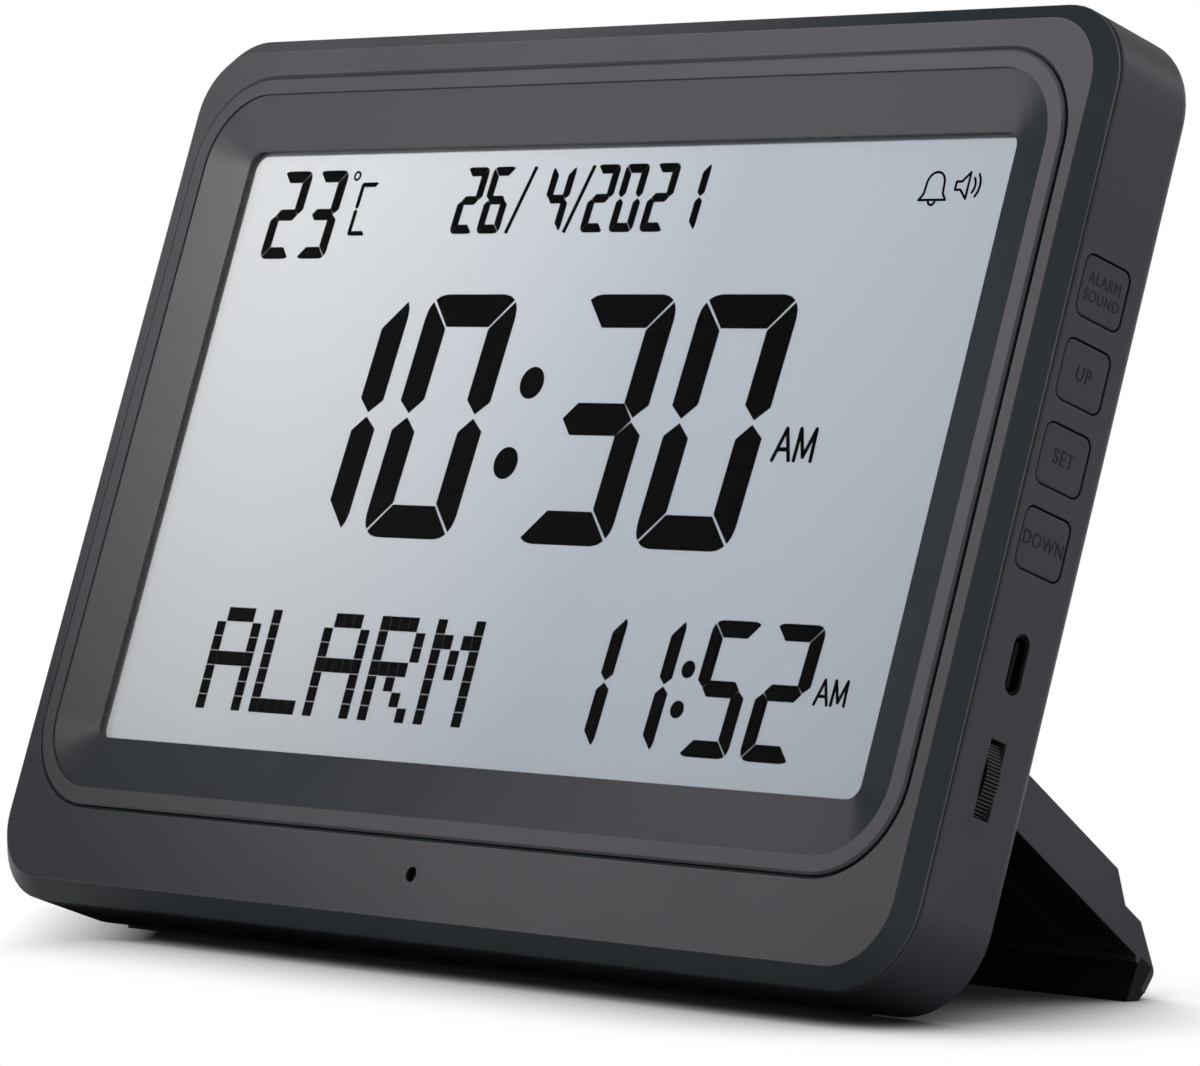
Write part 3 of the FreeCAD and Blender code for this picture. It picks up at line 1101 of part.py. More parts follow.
def make_stand_leg():
    outline = [(0, LEG_HALF), (LEG_LEN, LEG_HALF), (LEG_STEP_L, LEG_THIN_T), (LEG_THIN_L, LEG_THIN_T),
               (LEG_NOSE_L, LEG_NOSE_T), (LEG_NOSE_L, LEG_LIP_END), (FOOT_BACK, LEG_LIP_END),
               (FOOT_BACK, FOOT_SEAT), (FOOT_FRONT - FOOT_SHOULDER, FOOT_SEAT),
               (FOOT_FRONT - 2 * FOOT_SHOULDER, -LEG_HALF), (0, -LEG_HALF)]
    shell = prism_x(outline, -LEG_X, LEG_X)
    nose = [e for e in shell.Edges if e.BoundBox.YMin > LEG_NOSE_L - 0.001
            and abs(e.BoundBox.ZMin - LEG_NOSE_T) < 0.001 and abs(e.BoundBox.ZMax - LEG_NOSE_T) < 0.001]
    body = fuse([shell.makeFillet(LEG_NOSE_R, nose), bar_x(-LEG_X, LEG_X, 0, 0, LEG_HALF)])
    roof = LEG_HALF - LEG_SKIN
    thin_roof = LEG_THIN_T - LEG_SKIN
    bend, step = LEG_LEN - LEG_BEND_IN, LEG_STEP_L - LEG_BEND_IN
    hollow = [(LEG_ROOT_SOLID, -LEG_T), (LEG_ROOT_SOLID, roof), (bend, roof), (step, thin_roof),
              (LEG_THIN_L, thin_roof), (LEG_THIN_L, -LEG_T)]
    body = body.cut(prism_x(hollow, -LEG_X + LEG_SIDE, LEG_X - LEG_SIDE))
    under = -LEG_HALF + LEG_RIB_EDGE
    rib = [(LEG_ROOT_SOLID, under), (LEG_ROOT_SOLID, roof), (bend, roof), (step, thin_roof),
           (LEG_THIN_L, thin_roof), (LEG_THIN_L, under)]
    ribs = [prism_x(rib, side * x - LEG_RIB_T / 2, side * x + LEG_RIB_T / 2)
            for x in LEG_RIB_XS for side in (-1, 1)]
    body = fuse([body] + ribs)
    notch_end = LUG_R + LUG_END_GAP
    holes = []
    for side in (-1, 1):
        x = side * LUG_X
        half = LUG_W / 2 + LUG_GAP
        holes.append(box(x - half, x + half, -LEG_T, notch_end, -LEG_T, LEG_T))
        holes.append(bar_x(x - PIN_LEN / 2, x + PIN_LEN / 2, 0, 0, PIN_R))
    groove = foot_strip(FOOT_SINK)
    return open_leg(cut(body, holes + [groove]))


def foot_strip(sink):
    """Rubber strip, let into the leg's end by sink, behind the lip and flush with the leg's sides."""
    points = [(FOOT_BACK, FOOT_SEAT + sink), (FOOT_FRONT, FOOT_SEAT + sink), (FOOT_FRONT, FOOT_SEAT),
              floor_line(FOOT_FLAT), floor_line(0), (LEG_NOSE_L - FIT, LEG_LIP_END - FIT),
              (FOOT_BACK, LEG_LIP_END - FIT)]
    return prism_x(points, -LEG_X, LEG_X)


PIECES["stand_leg"] = make_stand_leg()
PIECES["leg_foot_strip"] = open_leg(foot_strip(FOOT_SINK))
PIECES["leg_hinge_pins"] = Part.makeCompound(
    [bar_x(side * LUG_X - PIN_LEN / 2, side * LUG_X + PIN_LEN / 2, PIVOT_Y, PIVOT_Z, PIN_R)
     for side in (-1, 1)])


def make_case_foot_strip():
    """Rubber strip let into the lower rear edge, flat on the floor when the case leans."""
    a = math.radians(LEAN)

    def on_floor(y):
        return (y, (FLOOR + y * math.sin(a)) / math.cos(a))

    top = CASE_BOTTOM + CASE_FOOT_SINK
    points = [(CASE_FOOT_FRONT, top), on_floor(CASE_FOOT_FRONT), on_floor(CASE_FOOT_REAR),
              (CASE_FOOT_REAR, top)]
    return prism_x(points, -CASE_FOOT_HALF, CASE_FOOT_HALF)


PIECES["case_foot_strip"] = make_case_foot_strip()

# ---------------------------------------------------------------- stand it up and write it


def lean_back(shape):
    leaned = shape.copy()
    leaned.rotate(V(0, 0, 0), X_AXIS, -LEAN)
    return leaned


LEANED = {name: lean_back(shape) for name, shape in PIECES.items()}
EXTENT = Part.makeCompound(list(LEANED.values())).optimalBoundingBox(False)
ORIGIN = V((EXTENT.XMin + EXTENT.XMax) / 2, (EXTENT.YMin + EXTENT.YMax) / 2, FLOOR)

os.makedirs("parts", exist_ok=True)
for name, shape in LEANED.items():
    shape.translate(-ORIGIN)
    shape.exportStep(os.path.join("parts", name + ".step"))
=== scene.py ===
import json
import math

import bpy
from mathutils import Matrix, Vector


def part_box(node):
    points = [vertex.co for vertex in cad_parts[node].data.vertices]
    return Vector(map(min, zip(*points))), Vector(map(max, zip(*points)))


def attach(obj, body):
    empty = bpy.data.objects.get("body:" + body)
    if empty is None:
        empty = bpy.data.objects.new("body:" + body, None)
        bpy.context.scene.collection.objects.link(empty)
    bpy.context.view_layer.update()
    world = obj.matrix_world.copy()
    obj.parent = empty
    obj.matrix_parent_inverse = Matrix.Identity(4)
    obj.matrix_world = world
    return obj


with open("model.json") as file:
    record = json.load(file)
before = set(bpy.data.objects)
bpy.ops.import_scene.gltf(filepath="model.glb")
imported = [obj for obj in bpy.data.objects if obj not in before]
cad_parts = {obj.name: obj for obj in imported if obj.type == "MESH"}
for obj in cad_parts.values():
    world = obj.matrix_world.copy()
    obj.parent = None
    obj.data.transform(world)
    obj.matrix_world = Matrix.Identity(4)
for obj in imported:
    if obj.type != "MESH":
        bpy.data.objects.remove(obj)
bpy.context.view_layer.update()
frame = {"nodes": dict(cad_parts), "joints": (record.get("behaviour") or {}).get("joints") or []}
solids = frame["nodes"]

# Front cover
# The face of the case, moulded in dark grey ABS. The mould is spark eroded where the face is flat
# and polished on the chamfered rim. The rim is smoother and carries painted shade that makes it
# darker and bluer, except at the upper left and in the groove above and left of the bezel, where
# painted light keeps it pale and as rough as the face. Painted shade also darkens the face towards
# its lower left corner.

COVER_COLOUR = (0.097, 0.092, 0.102, 1.0)
# Painted shade, darker towards the lower left corner of the face
COVER_LOW_LEFT_SHADE = (0.054, 0.057, 0.068, 1.0)
# Painted shade on the chamfered rim, darker and bluer than the face
COVER_RIM_SHADE = (0.026, 0.033, 0.039, 1.0)
# Edge wear on the cover, lightened and strengthened into a painted highlight line along its edges
COVER_EDGE_HIGHLIGHT = (0.20, 0.20, 0.21, 1.0)
COVER_EDGE_WEAR_AND_HIGHLIGHT = 1.3
COVER_ROUGHNESS = (0.46, 0.36)      # of the flat face and of the rim
COVER_SHINE = 0.12
FACE_HALF = (0.098, 0.063)          # from the window's middle to the edge of the bezel
GROOVE_WITHIN = (0.0989, 0.0639)    # half sizes that part the groove round the bezel from the rim
GROOVE_CORNER = 1.93                # how far that part reaches into its corners, 2 if square
GROOVE_SHIFT = 0.75                 # how much further down and right painted light keeps the groove pale
RIM_LIT_SPAN = (-0.42, -1.30)           # from here to there, up and left, painted light turns the rim pale
LOW_LEFT_SHADE = (1.0, 1.9)               # from here to there, down and left, painted shade darkens the face
OFF_THE_FLAT = (0.999, 0.98)        # cosines between which flat turns into slope

door_way = next(joint["axis"] for joint in frame["joints"] if joint["name"] == "door_unclip")
case_back = Vector(door_way).normalized()
case_right = Vector((1.0, 0.0, 0.0))
case_up = case_right.cross(case_back)
window_middle = sum(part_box("display_lens"), Vector()) / 2


def plug(tree, socket, value):
    """Set a socket to a number or colour, or link it to another socket."""
    if isinstance(value, bpy.types.NodeSocket):
        tree.links.new(value, socket)
    else:
        socket.default_value = value


def combine(tree, operation, *values):
    """Number worked out from others, each given as a number or as a socket."""
    node = tree.nodes.new("ShaderNodeMath")
    node.operation = operation
    for socket, value in zip(node.inputs, values):
        plug(tree, socket, value)
    return node.outputs["Value"]


def combine_ways(tree, operation, *values):
    """The same for places and ways. A dot product or a length comes out as a number."""
    node = tree.nodes.new("ShaderNodeVectorMath")
    node.operation = operation
    for socket, value in zip(node.inputs, values):
        plug(tree, socket, value)
    return node.outputs["Value" if operation in ("DOT_PRODUCT", "LENGTH") else "Vector"]


def tinted(tree, colour, factor):
    """Colour made lighter or darker by a factor."""
    node = tree.nodes.new("ShaderNodeVectorMath")
    node.operation = "SCALE"
    plug(tree, node.inputs[0], colour)
    plug(tree, node.inputs["Scale"], factor)
    return node.outputs["Vector"]


def mix_colours(tree, factor, first, second):
    """Blend of two colours, each given as numbers or as a socket."""
    node = tree.nodes.new("ShaderNodeMix")
    node.data_type = "RGBA"
    plug(tree, node.inputs["Factor"], factor)
    plug(tree, node.inputs[6], first)
    plug(tree, node.inputs[7], second)
    return node.outputs[2]


def ramp_between(tree, value, start, end, low=0.0, high=1.0):
    """Low at start, high at end and straight between them."""
    ramp = tree.nodes.new("ShaderNodeMapRange")
    for name, given in (("Value", value), ("From Min", start), ("From Max", end),
                        ("To Min", low), ("To Max", high)):
        plug(tree, ramp.inputs[name], given)
    return ramp.outputs["Result"]


def own_place(tree):
    """Place of a point in the standing clock, which stays with its piece when that moves."""
    return tree.nodes.new("ShaderNodeTexCoord").outputs["Object"]


def distance_along(tree, way):
    """Distance of a point from the middle of the window along a way, times the way's length."""
    return combine_ways(tree, "DOT_PRODUCT",
                        combine_ways(tree, "SUBTRACT", own_place(tree), window_middle), way)


def mottle(tree, scale, detail=2.0, roughness=0.5, distortion=0.0, place=None):
    """Irregular pattern from 0 to 1, as fine as its scale is high."""
    noise = tree.nodes.new("ShaderNodeTexNoise")
    for name, given in (("Vector", own_place(tree) if place is None else place), ("Scale", scale),
                        ("Detail", detail), ("Roughness", roughness), ("Distortion", distortion)):
        plug(tree, noise.inputs[name], given)
    return noise.outputs["Fac"]


def new_group(name, takes, gives):
    """Empty shader group with its inputs and outputs, each a name, a kind and a usual value."""
    group = bpy.data.node_groups.new(name, "ShaderNodeTree")
    for in_out, sockets in (("INPUT", takes), ("OUTPUT", gives)):
        for label, kind, *usual in sockets:
            socket = group.interface.new_socket(name=label, in_out=in_out,
                                                socket_type="NodeSocket" + kind)
            if usual:
                socket.default_value = usual[0]
    given = group.nodes.new("NodeGroupInput").outputs
    result = group.nodes.new("NodeGroupOutput").inputs
    return group, given, result


def make_facing_group():
    """Mask that runs from 0 to 1 between two cosines of a surface's angle with a way."""
    group, given, result = new_group(
        "facing_mask",
        takes=[("Way", "Vector"), ("Start", "Float"), ("End", "Float")],
        gives=[("Mask", "Float")])
    outward = group.nodes.new("ShaderNodeTexCoord").outputs["Normal"]
    cosine = combine_ways(group, "DOT_PRODUCT", outward, given["Way"])
    plug(group, result["Mask"], ramp_between(group, cosine, given["Start"], given["End"]))
    return group


facing_mask = make_facing_group()


def facing(tree, way, start, end):
    """Mask of the surfaces whose angle with a way has a cosine from start (0) to end (1)."""
    mask = tree.nodes.new("ShaderNodeGroup")
    mask.node_tree = facing_mask
    mask.inputs["Way"].default_value = way
    mask.inputs["Start"].default_value = start
    mask.inputs["End"].default_value = end
    return mask.outputs["Mask"]


GRAIN_SCALE = 2600.0
GRAIN_DEPTH = 0.00002
GRAIN_LIGHTER = (0.95, 1.05)        # factors on the colour, in a pit and on top of a grain
CLOUD_SCALE = 38.0
CLOUD_SPAN = (0.3, 0.7)             # the cloud's values between which the colour changes
CLOUD_LIGHTER = (0.94, 1.06)
CLOUD_ROUGHER = 0.08
EDGE_WIDTH = 0.00035
EDGE_WEAR = 0.6
EDGE_TURN = (0.995, 0.90)           # cosines between which a rounded edge turns into a worn one


def make_grain_group():
    """Satin moulded plastic: fine grain, faint cloudy colour change and polished edges."""
    group, given, result = new_group(
        "moulded_grain",
        takes=[("Colour", "Color", COVER_COLOUR), ("Edge Colour", "Color", COVER_EDGE_HIGHLIGHT),
               ("Grain Scale", "Float", GRAIN_SCALE), ("Grain Depth", "Float", GRAIN_DEPTH),
               ("Edge Width", "Float", EDGE_WIDTH), ("Edge Amount", "Float", EDGE_WEAR),
               ("Roughness", "Float", COVER_ROUGHNESS[0]),
               ("Roughness Change", "Float", CLOUD_ROUGHER)],
        gives=[("Colour", "Color"), ("Roughness", "Float"), ("Normal", "Vector")])
    grain = mottle(group, given["Grain Scale"], detail=3.0, roughness=0.6)
    cloud = mottle(group, CLOUD_SCALE, detail=4.0)

    rounded = group.nodes.new("ShaderNodeBevel")
    rounded.samples = 4
    plug(group, rounded.inputs["Radius"], given["Edge Width"])
    flat = group.nodes.new("ShaderNodeNewGeometry").outputs["True Normal"]
    turn = combine_ways(group, "DOT_PRODUCT", rounded.outputs["Normal"], flat)
    patchy = combine(group, "MULTIPLY", ramp_between(group, turn, *EDGE_TURN), cloud)
    worn = combine(group, "MULTIPLY", patchy, given["Edge Amount"])
    worn.node.use_clamp = True

    lighter = combine(group, "MULTIPLY", ramp_between(group, cloud, *CLOUD_SPAN, *CLOUD_LIGHTER),
                      ramp_between(group, grain, 0.0, 1.0, *GRAIN_LIGHTER))
    plug(group, result["Colour"], mix_colours(
        group, worn, tinted(group, given["Colour"], lighter), given["Edge Colour"]))
    plug(group, result["Roughness"], combine(
        group, "MULTIPLY_ADD", cloud, given["Roughness Change"], given["Roughness"]))

    bump = group.nodes.new("ShaderNodeBump")
    plug(group, bump.inputs["Distance"], given["Grain Depth"])
    plug(group, bump.inputs["Height"], grain)
    plug(group, bump.inputs["Normal"], rounded.outputs["Normal"])
    plug(group, result["Normal"], bump.outputs["Normal"])
    return group


moulded_grain = make_grain_group()


def new_material(name):
    """Material with its node tree and its Principled shader."""
    material = bpy.data.materials.new(name)
    material.use_nodes = True
    return material, material.node_tree, material.node_tree.nodes["Principled BSDF"]


def moulded(name, colour, edge_colour, roughness, grain_scale=GRAIN_SCALE,
            grain_depth=GRAIN_DEPTH, edge_width=EDGE_WIDTH, edge_wear=EDGE_WEAR, shine=0.1):
    """Moulded plastic or rubber with the shared grain."""
    material, tree, shader = new_material(name)
    grain = tree.nodes.new("ShaderNodeGroup")
    grain.node_tree = moulded_grain
    for label, value in (("Colour", colour), ("Edge Colour", edge_colour),
                         ("Grain Scale", grain_scale), ("Grain Depth", grain_depth),
                         ("Edge Width", edge_width), ("Edge Amount", edge_wear),
                         ("Roughness", roughness)):
        grain.inputs[label].default_value = value
    shader.inputs["Specular IOR Level"].default_value = shine
    tree.links.new(grain.outputs["Colour"], shader.inputs["Base Color"])
    tree.links.new(grain.outputs["Roughness"], shader.inputs["Roughness"])
    tree.links.new(grain.outputs["Normal"], shader.inputs["Normal"])
    return material


def grain_of(material):
    """The grain in a moulded material, for a finish that changes over the piece."""
    nodes = material.node_tree.nodes
    return next(n for n in nodes if n.type == "GROUP" and n.node_tree == moulded_grain)


def dress(node, material):
    """Give a solid its one material."""
    slots = solids[node].data.materials
    slots.clear()
    slots.append(material)


def polished_and_shaded_slopes(material, slopes, flat, smooth, roughness):
    """Give the slopes of a spark-eroded moulding their smoother finish and a colour with painted
    light and shade.
    """
    tree, grain = material.node_tree, grain_of(material)
    plug(tree, grain.inputs["Roughness"], ramp_between(tree, slopes, 0.0, 1.0, *roughness))
    plug(tree, grain.inputs["Colour"], mix_colours(tree, slopes, flat, smooth))
    return material


def painted_rim_light(tree):
    """Mask of painted light: 1 on the rim at the upper left and in the groove above and left of
    the bezel, else 0.
    """
    side = combine(tree, "ABSOLUTE", distance_along(tree, case_right / GROOVE_WITHIN[0]))
    end = combine(tree, "ABSOLUTE", distance_along(tree, case_up / GROOVE_WITHIN[1]))
    corner = combine(tree, "DIVIDE", combine(tree, "ADD", side, end), GROOVE_CORNER)
    reach = combine(tree, "MAXIMUM", combine(tree, "MAXIMUM", side, end), corner)
    inside = combine(tree, "LESS_THAN", reach, 1.0)
    down_right = distance_along(tree, case_right / FACE_HALF[0] - case_up / FACE_HALF[1])
    shift = combine(tree, "MULTIPLY", inside, GROOVE_SHIFT)
    return ramp_between(tree, combine(tree, "SUBTRACT", down_right, shift), *RIM_LIT_SPAN)


def painted_low_left_shade(tree):
    """Mask of painted shade: 0 over most of the face, 1 at its lower left corner."""
    down_left = distance_along(tree, -case_right / FACE_HALF[0] - case_up / FACE_HALF[1])
    return ramp_between(tree, down_left, *LOW_LEFT_SHADE)


def cover_material():
    material = moulded("cover_plastic", COVER_COLOUR, COVER_EDGE_HIGHLIGHT, COVER_ROUGHNESS[0],
                       edge_wear=COVER_EDGE_WEAR_AND_HIGHLIGHT, shine=COVER_SHINE)
    tree = material.node_tree
    # The flat face, with painted shade towards its lower left corner
    flat = mix_colours(tree, painted_low_left_shade(tree), COVER_COLOUR, COVER_LOW_LEFT_SHADE)
    # Painted shade on the rim, left out where painted light keeps the upper left pale
    painted_rim_shade = combine(tree, "MULTIPLY", facing(tree, -case_back, *OFF_THE_FLAT),
                       combine(tree, "SUBTRACT", 1.0, painted_rim_light(tree)))
    return polished_and_shaded_slopes(material, painted_rim_shade, flat, COVER_RIM_SHADE, COVER_ROUGHNESS)


dress("front_cover", cover_material())

# Display bezel
# A separate frame set into the cover: a flat ring, then a slope down to the window. It is moulded
# in the same grey, with a smoother finish on its slopes. Its slopes carry painted light and shade:
# the left and top slopes a lit colour, the right slope a dark shaded one, and the bottom slope a
# shade that lightens from its left end to its right. Painted shade also darkens the ring towards
# its lower left corner.

BEZEL_COLOUR = (0.088, 0.082, 0.094, 1.0)
# Painted light and shade: the ring darker at its lower left, the slopes in lit and shaded colours
BEZEL_LOW_LEFT_SHADE = (0.062, 0.062, 0.071, 1.0)
BEZEL_SLOPE_LIT = (0.056, 0.053, 0.063, 1.0)
BEZEL_RIGHT_SHADE = (0.022, 0.028, 0.034, 1.0)
BEZEL_BOTTOM_SHADE = (0.046, 0.051, 0.061, 1.0)
BEZEL_BOTTOM_LIT_END = (0.086, 0.083, 0.094, 1.0)
BOTTOM_SHADE_BLEND = (-0.03, 0.06)        # along the bottom slope, from the middle of the window, where its painted shade lightens
SLOPE_FACING = (0.15, 0.26)         # cosines that tell the slopes of the four sides apart for their painted light and shade
BEZEL_EDGE = (0.125, 0.118, 0.132, 1.0)
BEZEL_EDGE_WIDTH = 0.0003
BEZEL_ROUGHNESS = (0.46, 0.32)      # of the flat ring and of the slopes
BEZEL_SHINE = 0.26


def bezel_material():
    material = moulded("bezel_plastic", BEZEL_COLOUR, BEZEL_EDGE, BEZEL_ROUGHNESS[0],
                       edge_width=BEZEL_EDGE_WIDTH, shine=BEZEL_SHINE)
    tree = material.node_tree
    flat = mix_colours(tree, painted_low_left_shade(tree), BEZEL_COLOUR, BEZEL_LOW_LEFT_SHADE)
    # Painted light and shade on the slopes, and painted shade at the ring's lower left
    across = ramp_between(tree, distance_along(tree, case_right), *BOTTOM_SHADE_BLEND)
    painted_bottom = mix_colours(tree, across, BEZEL_BOTTOM_SHADE, BEZEL_BOTTOM_LIT_END)
    painted_slope = mix_colours(tree, facing(tree, case_up, *SLOPE_FACING), BEZEL_SLOPE_LIT, painted_bottom)
    painted_slope = mix_colours(tree, facing(tree, -case_right, *SLOPE_FACING), painted_slope, BEZEL_RIGHT_SHADE)
    sloped = facing(tree, -case_back, *OFF_THE_FLAT)
    return polished_and_shaded_slopes(material, sloped, flat, painted_slope, BEZEL_ROUGHNESS)


dress("display_bezel", bezel_material())

# Display lens
# Clear acrylic sheet with an anti-reflective coat, held behind the bezel by its foam gasket. A
# faint haze of fine scratches softens what little it reflects.

LENS_TINT = (0.97, 0.98, 0.99, 1.0)
LENS_INDEX = 1.08                   # as low as the coat makes it seem
HAZE_SCALE = 60.0
HAZE_ROUGHNESS = (0.002, 0.014)


def mix_surfaces(tree, factor, first, second):
    """Blend of two shaders."""
    node = tree.nodes.new("ShaderNodeMixShader")
    for socket, value in zip(node.inputs, (factor, first, second)):
        plug(tree, socket, value)
    return node.outputs["Shader"]


def lens_acrylic():
    """Clear plastic that light passes straight through on its way to what lies behind."""
    material, tree, shader = new_material("lens_acrylic")
    shader.inputs["Base Color"].default_value = LENS_TINT
    shader.inputs["Transmission Weight"].default_value = 1.0
    shader.inputs["IOR"].default_value = LENS_INDEX
    haze = mottle(tree, HAZE_SCALE, detail=5.0)
    plug(tree, shader.inputs["Roughness"], ramp_between(tree, haze, 0.0, 1.0, *HAZE_ROUGHNESS))
    path = tree.nodes.new("ShaderNodeLightPath").outputs
    on_its_way = combine(tree, "MAXIMUM", path["Is Shadow Ray"], path["Is Diffuse Ray"])
    passing = tree.nodes.new("ShaderNodeBsdfTransparent").outputs["BSDF"]
    plug(tree, tree.nodes["Material Output"].inputs["Surface"],
         mix_surfaces(tree, on_its_way, shader.outputs["BSDF"], passing))
    return material


dress("display_lens", lens_acrylic())

# Display gasket
# A thin black ring of closed-cell foam, punched from sheet. It lies between the lens and the
# LCD and keeps dust off both.

FOAM_BLACK = (0.018, 0.018, 0.019, 1.0)
FOAM_WORN = (0.03, 0.03, 0.03, 1.0)
FOAM_CELLS = 1800.0
FOAM_CELL_DEPTH = 0.00008

dress("display_gasket", moulded("gasket_foam", FOAM_BLACK, FOAM_WORN, roughness=0.8,
                                grain_scale=FOAM_CELLS, grain_depth=FOAM_CELL_DEPTH, shine=0.2))

# LCD panel
# Two glass plates with a reflective polariser behind. It is a silvery blue grey, with the even
# sparkle of the polariser's fine grain. Painted light makes it palest in the upper left corner,
# and painted shade darkens it and turns it bluer towards the lower right.

# Painted light at the upper left of the panel and painted shade at its lower right
LCD_LIT = (0.88, 0.89, 0.90, 1.0)
LCD_SHADED = (0.50, 0.545, 0.60, 1.0)
LCD_LIT_AT = Vector((-0.085, 0.0, 0.125))
LCD_SHADED_AT = Vector((0.025, 0.0, 0.100))
LCD_ROUGHNESS = (0.50, 0.60)
LCD_SHINE = 0.05
SPARKLE_SCALE = 5200.0
SPARKLE_LIGHTER = (0.975, 1.025)


def lcd_glass():
    material, tree, shader = new_material("lcd_glass")
    # Painted light and shade: a gradient from the lit upper left to the shaded lower right
    way = LCD_SHADED_AT - LCD_LIT_AT
    along = combine_ways(tree, "DOT_PRODUCT", own_place(tree), way / way.length_squared)
    lit_end = LCD_LIT_AT.dot(way) / way.length_squared
    colour = mix_colours(tree, ramp_between(tree, along, lit_end, lit_end + 1.0),
                         LCD_LIT, LCD_SHADED)
    sparkle = mottle(tree, SPARKLE_SCALE, detail=1.0)
    lighter = ramp_between(tree, sparkle, 0.0, 1.0, *SPARKLE_LIGHTER)
    plug(tree, shader.inputs["Base Color"], tinted(tree, colour, lighter))
    plug(tree, shader.inputs["Roughness"], ramp_between(tree, sparkle, 0.0, 1.0, *LCD_ROUGHNESS))
    shader.inputs["Specular IOR Level"].default_value = LCD_SHINE
    return material


dress("lcd_panel", lcd_glass())

# LCD figures
# The switched-on segments and dots: liquid crystal that turns nearly black, with a trace of
# blue and the soft bloom of the cell's edge.

FIGURE_BLACK = (0.0006, 0.0006, 0.0009, 1.0)
FIGURE_EDGE = (0.003, 0.003, 0.004, 1.0)
FIGURE_EDGE_WIDTH = 0.0001
FIGURE_GRAIN = 4000.0
FIGURE_GRAIN_DEPTH = 0.000004

dress("lcd_segments", moulded("lcd_ink", FIGURE_BLACK, FIGURE_EDGE, roughness=0.55,
                              grain_scale=FIGURE_GRAIN, grain_depth=FIGURE_GRAIN_DEPTH,
                              edge_width=FIGURE_EDGE_WIDTH, edge_wear=0.4, shine=0.0))

# Backlight
# An acrylic light guide printed with dots, a white reflector film behind it and a bar of small
# lamps along its lower edge.

GUIDE_CLEAR = (0.62, 0.66, 0.68, 1.0)
DOT_WHITE = (0.9, 0.9, 0.9, 1.0)
GUIDE_DOT_PITCH = 0.0016
FILM_WHITE = (0.84, 0.84, 0.83, 1.0)
FILM_GRAIN = 900.0
BAR_WHITE = (0.7, 0.7, 0.66, 1.0)
LAMP_YELLOW = (0.9, 0.75, 0.2, 1.0)
LAMP_PITCH = 0.006
DOT_RIM = 1.1                       # a dot's blurred rim ends at its radius times this


def printed_dots(name, colour, dot_colour, pitch, dot_share, roughness):
    """Smooth sheet with a regular print of dots, whose radius is a share of their pitch."""
    material, tree, shader = new_material(name)
    cells = tree.nodes.new("ShaderNodeTexVoronoi")
    cells.inputs["Scale"].default_value = 1.0 / pitch
    cells.inputs["Randomness"].default_value = 0.0
    tree.links.new(own_place(tree), cells.inputs["Vector"])
    beside = ramp_between(tree, cells.outputs["Distance"], dot_share, dot_share * DOT_RIM)
    plug(tree, shader.inputs["Base Color"], mix_colours(tree, beside, dot_colour, colour))
    shader.inputs["Roughness"].default_value = roughness
    return material


dress("light_guide", printed_dots("guide_acrylic", GUIDE_CLEAR, DOT_WHITE,
                                  GUIDE_DOT_PITCH, dot_share=0.3, roughness=0.2))
dress("reflector_sheet", moulded("reflector_film", FILM_WHITE, DOT_WHITE, roughness=0.6,
                                 grain_scale=FILM_GRAIN))
dress("backlight_led_bar", printed_dots("led_bar_board", BAR_WHITE, LAMP_YELLOW,
                                        LAMP_PITCH, dot_share=0.25, roughness=0.5))

# Display holder
# A plain black tray of injection moulded plastic that carries the LCD stack from behind. Its
# ears are screwed to the cover.

HOLDER_BLACK = (0.022, 0.022, 0.024, 1.0)
HOLDER_WORN = (0.05, 0.05, 0.052, 1.0)

dress("display_holder", moulded("holder_plastic", HOLDER_BLACK, HOLDER_WORN, roughness=0.55))

# Connector strip
# A strip of silicone rubber, squeezed between the LCD's glass and the board behind it. Thin
# conducting and insulating layers lie side by side in it.

LAYER_PINK = (0.5, 0.28, 0.3, 1.0)
LAYER_CARBON = (0.02, 0.02, 0.02, 1.0)
LAYER_SCALE = 900.0
LAYER_ROUGHNESS = 0.7


def layered_rubber():
    material, tree, shader = new_material("connector_rubber")
    layers = tree.nodes.new("ShaderNodeTexWave")
    layers.bands_direction = "X"
    layers.inputs["Scale"].default_value = LAYER_SCALE
    tree.links.new(own_place(tree), layers.inputs["Vector"])
    plug(tree, shader.inputs["Base Color"],
         mix_colours(tree, layers.outputs["Fac"], LAYER_PINK, LAYER_CARBON))
    shader.inputs["Roughness"].default_value = LAYER_ROUGHNESS
    return material


dress("connector_strip", layered_rubber())

# Rear housing and battery door
# The deep half of the case: side walls, back, leg recess, lugs and battery bays in one moulding, a
# shade darker than the face. Painted shade makes its top wall darker still. The door over the
# battery bays is moulded in the same plastic.

HOUSING_COLOUR = (0.053, 0.055, 0.064, 1.0)
HOUSING_WORN = (0.085, 0.088, 0.097, 1.0)
# Painted shade on the top wall
HOUSING_TOP_SHADE = (0.036, 0.037, 0.043, 1.0)
HOUSING_EDGE_WEAR = 1.2
TOP_SHADE_FACING = (0.3, 0.85)            # cosines between which the walls turn into the top, darkened by painted shade
SATIN = 0.34                        # roughness of the housing and of its keys


def housing_material():
    material = moulded("housing_plastic", HOUSING_COLOUR, HOUSING_WORN, SATIN,
                       edge_wear=HOUSING_EDGE_WEAR)
    tree = material.node_tree
    # Painted shade on the surfaces facing up
    shaded_top = facing(tree, case_up, *TOP_SHADE_FACING)
    plug(tree, grain_of(material).inputs["Colour"],
         mix_colours(tree, shaded_top, HOUSING_COLOUR, HOUSING_TOP_SHADE))
    return material


housing_plastic = housing_material()
dress("rear_housing", housing_plastic)
dress("battery_door", housing_plastic)

# Side keys
# Four caps that lie flush in the right wall, each with its use marked in small raised letters
# of darker paint.

